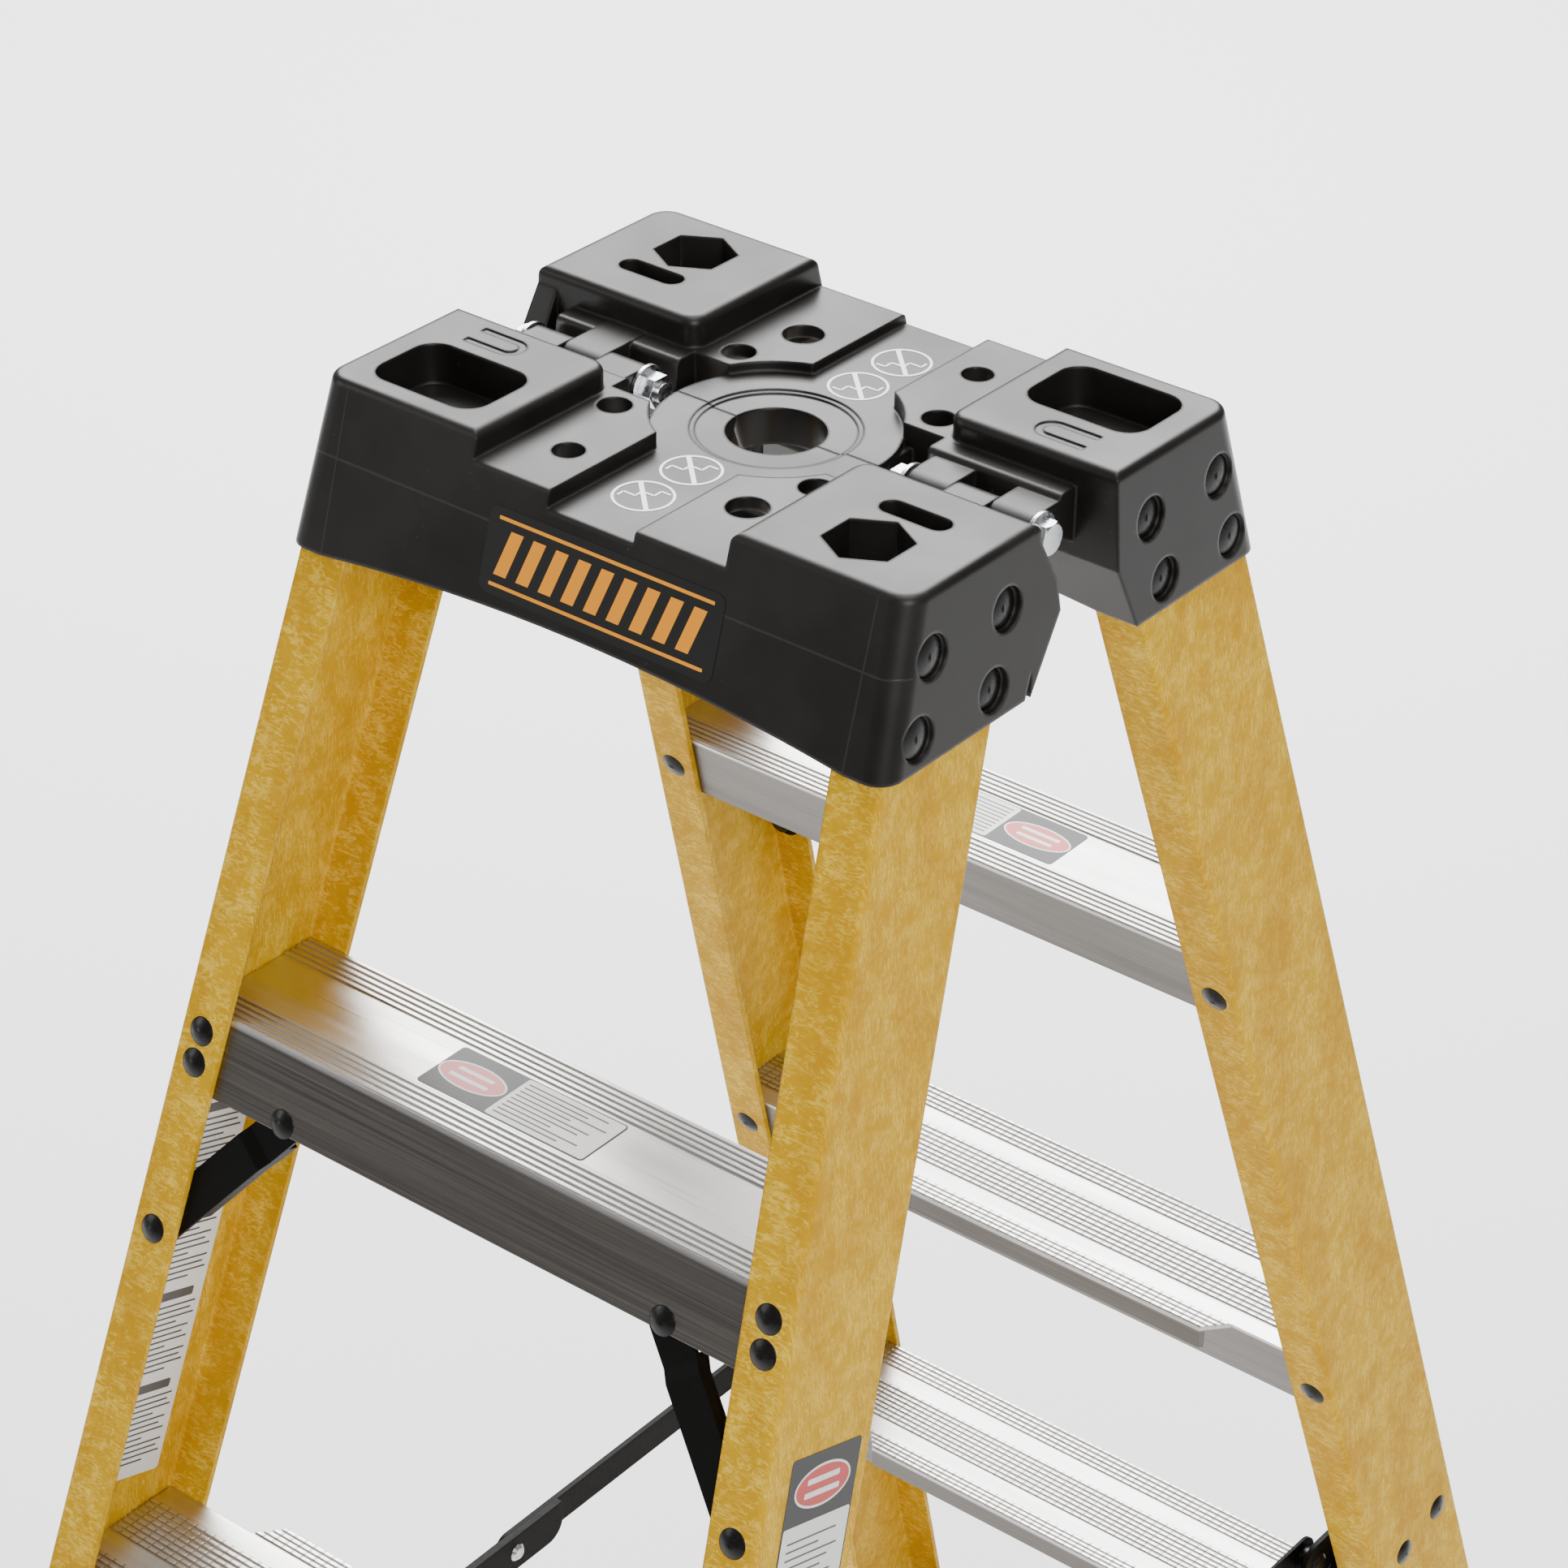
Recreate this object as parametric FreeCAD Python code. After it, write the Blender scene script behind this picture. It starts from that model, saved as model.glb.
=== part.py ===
import FreeCAD
import Part
import math
import os

# ---------------------------------------------------------------------------
# Double-sided step ladder, modelled in the open position.
# Millimetres, +Z up, origin on the floor below the middle of the cap.
# X runs along the steps, the front section stands on the -Y side.
# The rear section is the front section turned half a turn about Z.
# ---------------------------------------------------------------------------

# overall
PITCH = 304.8            # step spacing measured along a rail
STEP_COUNT = 5
LEAN = 18.0              # each section leans this far from upright
SPLAY = 4.3              # each rail spreads outward this far, degrees
CAP_RISE = 300.0         # top step to top of cap

# fibreglass rails
RAIL_DEPTH = 77.5
RAIL_FLANGE = 26.6
RAIL_WALL = 3.2
RAIL_ROUND = 3.0
RAIL_INNER_ROUND = 1.5
RAIL_X = 159.2           # outer face of a rail at the level of the cap top
RAIL_Y = 110.2           # front face of a rail at the level of the cap top
RAIL_HEAD_DROP = 25.0    # cap top down to the sawn rail head
RAIL_FOOT = 14.2

# cap mouldings
CAP_DEPTH = 78.0         # height of the cap skirt
CAP_WALL = 4.0
CAP_FRONT_Y = 118.0      # front edge of the cap top
CAP_BACK_COVER = 8.8     # rail head to the hinge side of the raised blocks
CAP_END_WALL = 4.7       # outer face of a cap end beyond the rail face
CAP_CORNER = 12.0
CAP_EDGE = 4.5           # rounding of the upper edges
SHELF_EDGE = 2.5
ARCH_RISE = 9.0
BLOCK_LEFT_X = 72.0      # inner edge of the left raised block
BLOCK_RIGHT_X = 70.0     # inner edge of the right raised block
SHELF_LEFT_DROP = 12.0   # left tool shelf below the cap top
SHELF_RIGHT_DROP = 15.0
CENTRE_DROP = 20.0
ROOF_DROP = 21.5         # underside of the tool shelves
BLOCK_CORNER = 9.0
SHELF_LEFT_X = 28.0
SHELF_RIGHT_X = 21.0
RIDGE_WIDTH = 12.0       # ledge along the hinge side of each raised block
RIDGE_EDGE = 3.0
CENTRE_RADIUS = 57.0
DISH_RADIUS = 39.0
DISH_STEP = 2.4
DISH_DEPTH = 0.8
SOCKET_RADIUS = 23.0     # round through socket in the middle
SEAM_GAP = 0.3
TRAY_CENTRE = (-117.5, -84.5)
TRAY_SIZE = (63.0, 45.0)
TRAY_DEPTH = 20.0
TRAY_CORNER = 12.0
TRAY_BOSS_RADIUS = 7.0
HEX_CENTRE = (117.5, -86.5)
HEX_RADIUS = 20.2
SLOT_CENTRE = (119.5, -56.5)
SLOT_LENGTH = 36.0
SLOT_WIDTH = 12.0
SLEEVE_WALL = 2.5
SLEEVE_DEPTH = 34.0
TOOL_HOLES = ((-46.0, -88.0, 7.5), (-59.0, -41.5, 8.0), (43.5, -74.5, 9.8), (54.5, -41.0, 8.0))

# hinge through the cap
HINGE_DROP = 24.0
LUG_RADIUS = 9.5
LUG_INNER = 76.2
LUG_WIDTH = 22.0
LUG_GAP = 0.4
BOLT_RADIUS = 4.75
BOLT_FIT = 0.05
BOLT_HEAD_FLATS = 14.3
BOLT_HEAD_HEIGHT = 6.2
NUT_HEIGHT = 7.4
WASHER_RADIUS = 10.8
WASHER_THICK = 1.8
FACE_GAP = 0.3           # air between faces that move past each other
V_ANGLE = 18.6           # relief of each half below the hinge line

# steps
TREAD_THICK = 2.4
SKIRT_THICK = 2.2
SKIRT_DROP = 38.5
RIB_HEIGHT = 0.9
RIB_WIDTH = 2.1
RIB_PITCH = 3.8
EDGE_RIBS = 5
MIDDLE_RIBS = 8
MIDDLE_RIBS_FROM = 32.7  # front edge of a lower tread to its middle band of ribs
NOSE_RIBS = 4
NOSE_RIB_PITCH = 3.3
NOSE_DEPTH = 13.4        # nose of the lower treads, on the hinge side of the rails
NOSE_DROP = 13.0
NOSE_END = 60.0          # nose cut back from the rail webs, clear of the spreaders
NOSE_SLANT = 11.5
SEAT_GAP = 0.1           # air between fixed pieces laid side by side

# rivets
RIVET_SHANK = 3.2
RIVET_HEAD = 7.2
RIVET_HEAD_HEIGHT = 2.0
RIVET_TAIL = 5.0
RIVET_TAIL_HEIGHT = 1.4
RIVET_FIT = 0.1
CAP_RIVET_HEAD = 9.6
CAP_RIVET_HEIGHT = 1.6
CAP_RIVET_SINK = 1.8
CAP_RIVET_ROWS = (30.5, 64.0)
CAP_RIVET_DEPTHS = (13.75, 63.75)
STEP_RIVET_DROPS = (8.6, 24.1)
REAR_RIVET_DROP = 23.0

# knee braces
BRACE_STEPS = (1, 5)
BRACE_WIDTH = 20.0
BRACE_THICK = 2.5
BRACE_LIP = 6.0
BRACE_TOP_DROP = 33.0
BRACE_FOOT_DROP = 108.0
BRACE_REACH = 70.0
BRACE_JOGGLE = (20.0, 27.0)   # along the brace, where it steps out to the rail flange

# spreaders: an angle link and a flat link on each side, folding upward
SPREAD_LIFT = 112.0      # pivots above the third tread from the floor
SPREAD_INSET = 86.6      # pivots behind the front faces of the rails
ANGLE_X = 167.0          # inner face of the angle links
ANGLE_SHEET = 2.0
ANGLE_HEIGHT = 23.0
ANGLE_OVERRUN = 38.0     # angle links reach this far past the knuckle
FLAT_THICK = 3.4
FLAT_HEIGHT = 18.4
LINK_SPACE = 3.5         # between the angle and the flat link
PIVOT_RADIUS = 4.0
PIVOT_FIT = 0.05
PIVOT_HEAD = 7.0
KNUCKLE_HEAD = 5.4
PIVOT_HEAD_HEIGHT = 1.8
COLLAR_RADIUS = 7.0
BRACKET_THICK = 3.0
BRACKET_EAR = 15.5
BRACKET_DEPTHS = (16.5, 50.7)
BRACKET_LIFT = 23.8      # rivet line above the pivots, at the front corner of the rail

# feet
SHOE_TOP = 80.0
SHOE_BOTTOM = 9.0
SHOE_WALL = 4.0
PAD_OVERHANG = 3.0
PAD_GROOVE = 3.0

V = FreeCAD.Vector
TAN_LEAN = math.tan(math.radians(LEAN))
TAN_SPLAY = math.tan(math.radians(SPLAY))
SIN_LEAN = math.sin(math.radians(LEAN))
COS_LEAN = math.cos(math.radians(LEAN))
RISE = PITCH / math.sqrt(1.0 + TAN_LEAN ** 2 + TAN_SPLAY ** 2)
CAP_TOP = STEP_COUNT * RISE + CAP_RISE
CAP_BOTTOM = CAP_TOP - CAP_DEPTH
RAIL_HEAD = CAP_TOP - RAIL_HEAD_DROP
HINGE_Z = CAP_TOP - HINGE_DROP
CAP_BACK_Y = RAIL_Y + TAN_LEAN * RAIL_HEAD_DROP - RAIL_DEPTH / COS_LEAN - CAP_BACK_COVER
SPREAD_Z = 3 * RISE + SPREAD_LIFT
SPREAD_Y = RAIL_Y + TAN_LEAN * (CAP_TOP - SPREAD_Z) - SPREAD_INSET
FLAT_X = ANGLE_X + ANGLE_SHEET + LINK_SPACE
ANGLE_WIDTH = FLAT_X - ANGLE_X - 2 * FACE_GAP   # the lip stops short of the flat link's path
EAR_X = FLAT_X + FLAT_THICK + 0.5

DOWN_RAIL = V(TAN_SPLAY, -TAN_LEAN, -1.0).normalize()
DEPTH_DIR = V(0.0, COS_LEAN, -SIN_LEAN)
INWARD = DEPTH_DIR.cross(DOWN_RAIL).normalize()
UP_FACE = V(0.0, SIN_LEAN, COS_LEAN)


def rail_x(z):
    """Outer face of a right-hand rail at height z, on its front corner line."""
    return RAIL_X + TAN_SPLAY * (CAP_TOP - z)


def rail_y(z):
    """Front face of the front rails at height z."""
    return -RAIL_Y - TAN_LEAN * (CAP_TOP - z)


def tread_z(number):
    """Height of a tread, counted from the top step."""
    return RISE * (STEP_COUNT - number + 1)


def frame(origin, x_axis, y_axis, z_axis):
    matrix = FreeCAD.Matrix(
        x_axis.x, y_axis.x, z_axis.x, origin.x,
        x_axis.y, y_axis.y, z_axis.y, origin.y,
        x_axis.z, y_axis.z, z_axis.z, origin.z,
        0.0, 0.0, 0.0, 1.0)
    return FreeCAD.Placement(matrix)


def box(x0, x1, y0, y1, z0, z1):
    return Part.makeBox(x1 - x0, y1 - y0, z1 - z0, V(x0, y0, z0))


def prism(points, direction):
    return Part.Face(Part.makePolygon(points + [points[0]])).extrude(direction)


def plan_prism(outline, z0, z1):
    return prism([V(x, y, z0) for x, y in outline], V(0, 0, z1 - z0))


def cylinder(radius, start, direction, length):
    return Part.makeCylinder(radius, length, start, direction)


def fuse_all(shapes):
    return shapes[0].fuse(shapes[1:]).removeSplitter()


def mirror_x(shape):
    return shape.mirror(V(0, 0, 0), V(1, 0, 0))


def half_turn(shape):
    turned = shape.copy()
    turned.rotate(V(0, 0, 0), V(0, 0, 1), 180.0)
    return turned


def slab(shape, z0, z1):
    """The part of a shape between two heights."""
    return shape.common(box(-900, 900, -1200, 1200, z0, z1))


def rail_frame():
    """Local x inward across the flange, y along the depth, z down the rail."""
    return frame(V(RAIL_X, -RAIL_Y, CAP_TOP), INWARD, DEPTH_DIR, DOWN_RAIL)


def rail_block(n0, n1, w0, w1, z0, z1):
    """A bar that follows the right-hand front rail, sawn level at z0 and z1."""
    length = CAP_TOP / -DOWN_RAIL.z
    bar = Part.makeBox(n1 - n0, w1 - w0, length + 300.0, V(n0, w0, -150.0))
    bar.Placement = rail_frame()
    return slab(bar, z0, z1)


def face_frame(z):
    """Plane of the front faces: x across, y up the slope, z out to the front."""
    return frame(V(0, rail_y(z), z), V(1, 0, 0), UP_FACE, DEPTH_DIR.negative())


def web_point(depth, z):
    """Point on the outer face of the right-hand front rail web."""
    corner_z = z + depth * SIN_LEAN
    return V(rail_x(corner_z), rail_y(corner_z) + depth * COS_LEAN, z)


def flange_point(z):
    """Middle of the front flange of the right-hand front rail, front side."""
    return V(rail_x(z) - RAIL_FLANGE / 2.0, rail_y(z), z)


def rear_flange_point(z):
    """Middle of the rear flange of the right-hand front rail, hinge side."""
    corner_z = z + RAIL_DEPTH * SIN_LEAN
    y = rail_y(corner_z) + RAIL_DEPTH * COS_LEAN
    return V(rail_x(corner_z) - RAIL_FLANGE / 2.0, y, z)


# ------------------------------------------------------------------ fasteners

def rivet(seat, outward, grip, head_radius, head_height):
    """Domed head on the seat point, shank through the grip, flat tail behind."""
    ball_radius = (head_radius ** 2 + head_height ** 2) / (2.0 * head_height)
    ball = Part.makeSphere(ball_radius, V(0, 0, head_height - ball_radius))
    dome = ball.common(cylinder(head_radius + 1.0, V(0, 0, 0), V(0, 0, 1), head_height + 1.0))
    shank = cylinder(RIVET_SHANK, V(0, 0, 0), V(0, 0, -1), grip)
    tail = cylinder(RIVET_TAIL, V(0, 0, -grip), V(0, 0, -1), RIVET_TAIL_HEIGHT)
    body = dome.fuse([shank, tail]).removeSplitter()
    body.Placement = FreeCAD.Placement(seat, FreeCAD.Rotation(V(0, 0, 1), outward))
    return body


def rivet_hole(seat, outward, grip):
    start = seat + outward * 3.0
    return cylinder(RIVET_SHANK + RIVET_FIT, start, outward.negative(), grip + 6.0)


def hexagon(radius, x, height, centre_y, centre_z):
    points = []
    for side in range(6):
        angle = math.radians(60.0 * side)
        points.append(V(x, centre_y + radius * math.cos(angle), centre_z + radius * math.sin(angle)))
    return prism(points, V(height, 0, 0))


# ------------------------------------------------------------------ cap half

def level_region(name):
    """Plan outlines of the sunken areas of the front cap half."""
    reach = CAP_FRONT_Y + 40.0
    disc = cylinder(CENTRE_RADIUS, V(0, 0, CAP_TOP - 60.0), V(0, 0, 1), 120.0)
    if name == "left":
        return box(-BLOCK_LEFT_X, -SHELF_LEFT_X, -reach, 40.0, CAP_TOP - SHELF_LEFT_DROP, CAP_TOP + 60.0)
    if name == "right":
        return box(SHELF_RIGHT_X, BLOCK_RIGHT_X, -reach, 40.0, CAP_TOP - SHELF_RIGHT_DROP, CAP_TOP + 60.0)
    lane = box(-SHELF_LEFT_X, SHELF_RIGHT_X, -reach, 40.0, CAP_TOP - 60.0, CAP_TOP + 60.0)
    return slab(disc.fuse(lane), CAP_TOP - CENTRE_DROP, CAP_TOP + 60.0)


def cap_front(z):
    """Front face of the cap skirt at height z."""
    slope = TAN_LEAN - 2.8 / CAP_DEPTH
    return -CAP_FRONT_Y - slope * (CAP_TOP - z)


def cap_section(inset, top, bottom):
    """Side profile of a cap half, hinge side to front, shrunk by the inset."""
    back = -CAP_BACK_Y - inset
    return [
        V(0, cap_front(top) + inset, top), V(0, back, top), V(0, back, CAP_TOP - 46.0),
        V(0, back - 14.0, bottom), V(0, cap_front(bottom) + inset, bottom)]


def cap_levels():
    """Strips of the front cap half from left to right: x range and drop below the cap top."""
    return (
        (-190.0, -BLOCK_LEFT_X, 0.0),
        (-BLOCK_LEFT_X, -SHELF_LEFT_X, SHELF_LEFT_DROP),
        (-SHELF_LEFT_X, SHELF_RIGHT_X, CENTRE_DROP),
        (SHELF_RIGHT_X, BLOCK_RIGHT_X, SHELF_RIGHT_DROP),
        (BLOCK_RIGHT_X, 190.0, 0.0))


def cap_strip(x0, x1, drop):
    """One level of the cap half with its upper edges rounded."""
    top = CAP_TOP - drop
    outline = [V(x0, p.y, p.z) for p in cap_section(0.0, top, CAP_BOTTOM)]
    strip = prism(outline, V(x1 - x0, 0, 0)).common(cap_ends(0.0))
    if drop > 0.0:
        return strip.makeFillet(SHELF_EDGE, [e for e in strip.Edges if on_front_top(e, top)])
    corners = []
    for edge in strip.Edges:
        a, b = edge.Vertexes[0].Point, edge.Vertexes[-1].Point
        if abs(a.z - b.z) > 60.0 and max(a.y, b.y) < -100.0 and max(abs(a.x), abs(b.x)) > 150.0:
            corners.append(edge)
    strip = strip.makeFillet(CAP_CORNER, corners)
    inner_x = x1 if x0 < 0.0 else x0
    inner = []
    for edge in strip.Edges:
        a, b = edge.Vertexes[0].Point, edge.Vertexes[-1].Point
        beside = max(abs(a.x - inner_x), abs(b.x - inner_x)) < 0.01
        if beside and abs(a.z - b.z) > 20.0 and min(a.y, b.y) > -40.0 and max(a.z, b.z) > top - 0.01:
            inner.append(edge)
    strip = strip.makeFillet(BLOCK_CORNER, inner)
    rim = [e for e in strip.Edges if min(v.Z for v in e.Vertexes) > top - 0.01]
    return strip.makeFillet(CAP_EDGE, rim)


def on_front_top(edge, top):
    heights = [v.Z for v in edge.Vertexes]
    return min(heights) > top - 0.01 and max(v.Y for v in edge.Vertexes) < -100.0


def hinge_ridge(x0, x1, drop):
    """Ledge along the hinge side of a raised block, level with the shelf beside it."""
    top = CAP_TOP - drop
    edge_y = RIDGE_WIDTH - CAP_BACK_Y
    back = -CAP_BACK_Y - BLOCK_CORNER - 1.0
    ridge = prism([
        V(x0, back, top), V(x0, edge_y, top), V(x0, edge_y + 1.5, HINGE_Z - 8.0),
        V(x0, back, HINGE_Z - 20.0)], V(x1 - x0, 0, 0))
    lip = []
    for edge in ridge.Edges:
        heights = [v.Z for v in edge.Vertexes]
        if min(heights) > top - 0.01 and min(v.Y for v in edge.Vertexes) > edge_y - 0.01:
            lip.append(edge)
    return ridge.makeFillet(RIDGE_EDGE, lip)


def cap_ends(inset):
    """Drafted wedge that trims the two ends of the cap."""
    half_top = RAIL_X + CAP_END_WALL - inset
    half_low = rail_x(CAP_BOTTOM - 10.0) + CAP_END_WALL - inset
    low = CAP_BOTTOM - 10.0
    points = [
        V(-half_top, -300, CAP_TOP), V(half_top, -300, CAP_TOP),
        V(half_low, -300, low), V(-half_low, -300, low)]
    return prism(points, V(0, 600, 0))


def profile_bar(points, half_width):
    moved = [V(-half_width, p.y, p.z) for p in points]
    return prism(moved, V(2.0 * half_width, 0, 0))


def rounded_plan(centre, size, radius, z0, z1):
    x, y = centre
    half_x = size[0] / 2.0
    half_y = size[1] / 2.0
    block = box(x - half_x, x + half_x, y - half_y, y + half_y, z0, z1)
    upright = [e for e in block.Edges if abs(e.Vertexes[0].Z - e.Vertexes[1].Z) > 1.0]
    return block.makeFillet(radius, upright)


def hex_plan(centre, radius, z0, z1):
    points = []
    for side in range(6):
        angle = math.radians(60.0 * side + 30.0)
        points.append((centre[0] + radius * math.cos(angle), centre[1] + radius * math.sin(angle)))
    return plan_prism(points, z0, z1)


def lug_ranges():
    """Front and rear lug ranges, worked out from the inner edge outward."""
    starts = [LUG_INNER + i * (LUG_WIDTH + LUG_GAP) for i in range(3)]
    front = [
        (-starts[0] - LUG_WIDTH, -starts[0]),
        (-starts[2] - LUG_WIDTH, -starts[2]),
        (starts[1], starts[1] + LUG_WIDTH)]
    rear = [(-b, -a) for a, b in front]
    return front, rear


def lug_outer():
    return LUG_INNER + 3.0 * LUG_WIDTH + 2.0 * LUG_GAP


def seam_cutter():
    """Everything behind the seam and behind the sloped relief below the hinge."""
    half = SEAM_GAP / 2.0
    drop = HINGE_Z - CAP_BOTTOM + 30.0
    run = drop * math.tan(math.radians(V_ANGLE))
    points = [
        V(-200, -half, CAP_TOP + 5.0), V(-200, 80, CAP_TOP + 5.0), V(-200, 80, HINGE_Z - drop),
        V(-200, -half - run, HINGE_Z - drop), V(-200, -half, HINGE_Z)]
    return prism(points, V(400, 0, 0))


def cap_rivet_seats():
    seats = []
    for drop in CAP_RIVET_ROWS:
        for depth in CAP_RIVET_DEPTHS:
            seats.append(web_point(depth, CAP_TOP - drop))
    return seats


def cap_half():
    body = fuse_all([cap_strip(x0, x1, drop) for x0, x1, drop in cap_levels()])

    # ear beside the right-hand bolt head
    ear = prism([
        V(lug_outer() + 10.0, -31.0, CAP_TOP - 3.0), V(lug_outer() + 10.0, -17.0, CAP_TOP - 31.0),
        V(lug_outer() + 10.0, -15.0, CAP_TOP - 46.0), V(lug_outer() + 10.0, -38.0, CAP_BOTTOM)], V(60, 0, 0))
    ear = ear.common(cap_ends(0.0))
    ridges = [
        hinge_ridge(-lug_outer(), -BLOCK_LEFT_X, SHELF_LEFT_DROP),
        hinge_ridge(BLOCK_RIGHT_X, lug_outer(), SHELF_RIGHT_DROP)]

    # centre tongue that meets the other half at the seam
    tongue = cylinder(CENTRE_RADIUS, V(0, 0, HINGE_Z), V(0, 0, 1), HINGE_DROP - CENTRE_DROP)
    web_low = CAP_TOP - 50.0
    web_end = CENTRE_RADIUS - 6.0
    tongue_webs = [
        box(-web_end, web_end, -14.0, -10.0, web_low, HINGE_Z + 1.0),
        box(-web_end - 4.0, -web_end, -30.0, -10.0, web_low, HINGE_Z + 1.0),
        box(web_end, web_end + 4.0, -30.0, -10.0, web_low, HINGE_Z + 1.0)]
    sleeve = cylinder(SOCKET_RADIUS + 3.0, V(0, 0, CAP_TOP - 40.0), V(0, 0, 1), 18.0)

    # cavity under the levels, with tubs and sleeves left standing
    tray_tub = rounded_plan(
        TRAY_CENTRE, (TRAY_SIZE[0] + 6.0, TRAY_SIZE[1] + 6.0), TRAY_CORNER + 3.0,
        CAP_TOP - TRAY_DEPTH - CAP_WALL, CAP_TOP)
    hex_tub = hex_plan(HEX_CENTRE, HEX_RADIUS + SLEEVE_WALL / COS_LEAN, CAP_TOP - SLEEVE_DEPTH, CAP_TOP)
    slot_tub = rounded_plan(
        SLOT_CENTRE, (SLOT_LENGTH + 2 * SLEEVE_WALL, SLOT_WIDTH + 2 * SLEEVE_WALL),
        SLOT_WIDTH / 2.0 + SLEEVE_WALL - 0.01, CAP_TOP - SLEEVE_DEPTH, CAP_TOP)
    tubs = [tray_tub, hex_tub, slot_tub]
    inner = profile_bar(cap_section(CAP_WALL, CAP_TOP, CAP_BOTTOM - 10.0), 128.0)
    inner = inner.common(box(-300, 300, -300, 0, CAP_BOTTOM - 20.0, CAP_TOP - CAP_WALL))
    roofs = []
    for name in ("left", "right", "centre"):
        region = level_region(name)
        region.translate(V(0, 0, -CAP_WALL))
        roofs.append(region)
    roof_margin = box(
        -BLOCK_LEFT_X - CAP_WALL, BLOCK_RIGHT_X + CAP_WALL, -300, 0, CAP_TOP - ROOF_DROP, CAP_TOP)
    ribs = [
        box(-BLOCK_LEFT_X - 2.0, -BLOCK_LEFT_X + 1.0, -300, 0, CAP_TOP - 40.0, CAP_TOP),
        box(BLOCK_RIGHT_X - 1.0, BLOCK_RIGHT_X + 2.0, -300, 0, CAP_TOP - 40.0, CAP_TOP)]
    hollow = inner.cut(roofs + [roof_margin] + ribs + tubs)

    # sockets for the two rail heads
    socket = rail_block(
        -0.2, RAIL_FLANGE + 0.3, -0.2, RAIL_DEPTH + 0.2, CAP_BOTTOM - 20.0, RAIL_HEAD + 0.3)
    sockets = [socket.cut(tubs), mirror_x(socket).cut(tubs)]

    body = body.cut([level_region("centre")])
    body = body.fuse([ear] + ridges)
    body = body.cut([hollow] + sockets)
    body = body.fuse([tongue, sleeve] + tongue_webs)

    # lugs and their arms
    front, rear = lug_ranges()
    pieces = []
    for x0, x1 in front:
        barrel = cylinder(LUG_RADIUS, V(x0, 0, HINGE_Z), V(1, 0, 0), x1 - x0)
        arm = box(x0, x1, -CAP_BACK_Y - 1.0, 0.0, HINGE_Z - LUG_RADIUS, HINGE_Z + LUG_RADIUS)
        pieces.append((barrel, arm.cut(sockets)))
    body = body.fuse([arm for barrel, arm in pieces])
    body = body.cut([seam_cutter()])
    relief = []
    for x0, x1 in rear:
        start = V(x0 - LUG_GAP, 0, HINGE_Z)
        relief.append(cylinder(LUG_RADIUS + FACE_GAP + 0.2, start, V(1, 0, 0), x1 - x0 + 2 * LUG_GAP))
    body = body.cut(relief)
    body = body.fuse([barrel for barrel, arm in pieces])

    # openings
    tray = rounded_plan(TRAY_CENTRE, TRAY_SIZE, TRAY_CORNER, CAP_TOP - TRAY_DEPTH, CAP_TOP + 5.0)
    boss_foot = V(TRAY_CENTRE[0] - 17.0, TRAY_CENTRE[1] - 8.0, CAP_TOP - TRAY_DEPTH - 1.0)
    boss = cylinder(TRAY_BOSS_RADIUS, boss_foot, V(0, 0, 1), 3.0)
    hex_cut = hex_plan(HEX_CENTRE, HEX_RADIUS, CAP_TOP - SLEEVE_DEPTH - 5.0, CAP_TOP + 5.0)
    slot_cut = rounded_plan(
        SLOT_CENTRE, (SLOT_LENGTH, SLOT_WIDTH), SLOT_WIDTH / 2.0 - 0.01,
        CAP_TOP - SLEEVE_DEPTH - 5.0, CAP_TOP + 5.0)
    holes = [tray.cut(boss), hex_cut, slot_cut]
    for x, y, radius in TOOL_HOLES:
        holes.append(cylinder(radius, V(x, y, CAP_BOTTOM), V(0, 0, 1), CAP_DEPTH))
    holes.append(cylinder(SOCKET_RADIUS, V(0, 0, CAP_BOTTOM), V(0, 0, 1), CAP_DEPTH))
    for ring_index in (1, 2):
        ring_foot = V(0, 0, CAP_TOP - CENTRE_DROP - ring_index * DISH_DEPTH)
        holes.append(cylinder(DISH_RADIUS - (ring_index - 1) * DISH_STEP, ring_foot, V(0, 0, 1), 6.0))
    bore = BOLT_RADIUS + BOLT_FIT
    holes.append(cylinder(bore, V(-160, 0, HINGE_Z), V(1, 0, 0), 100.0))
    holes.append(cylinder(bore, V(60, 0, HINGE_Z), V(1, 0, 0), 100.0))

    # arched lower edge of the skirt
    half_span = 148.0
    radius = (half_span ** 2 + ARCH_RISE ** 2) / (2.0 * ARCH_RISE)
    holes.append(cylinder(radius, V(0, -200, CAP_BOTTOM + ARCH_RISE - radius), V(0, 1, 0), 300.0))

    # magnet mark: an upturned horseshoe pressed into the block top
    mark_z = CAP_TOP - 0.8
    ring = cylinder(8.0, V(-117.0, -46.0, mark_z), V(0, 0, 1), 4.0).cut(
        cylinder(4.2, V(-117.0, -46.0, mark_z), V(0, 0, 1), 4.0))
    ring = ring.common(box(-117.0, -100.0, -60.0, -30.0, mark_z, mark_z + 4.0))
    arms = [
        box(-138.0, -117.0, -54.0, -50.2, mark_z, mark_z + 4.0),
        box(-138.0, -117.0, -41.8, -38.0, mark_z, mark_z + 4.0)]
    holes += [ring] + arms

    # recessed seats and shank holes for the rail rivets
    outward = INWARD.negative()
    for seat in cap_rivet_seats():
        sink_start = seat + outward * (CAP_END_WALL - CAP_RIVET_SINK - 0.2)
        sink = cylinder(CAP_RIVET_HEAD + 0.8, sink_start, outward, 12.0)
        hole = rivet_hole(seat, outward, 8.0)
        holes += [sink, hole, mirror_x(sink), mirror_x(hole)]
    body = body.cut(holes).removeSplitter()
    return body


# ------------------------------------------------------------------ section

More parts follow.
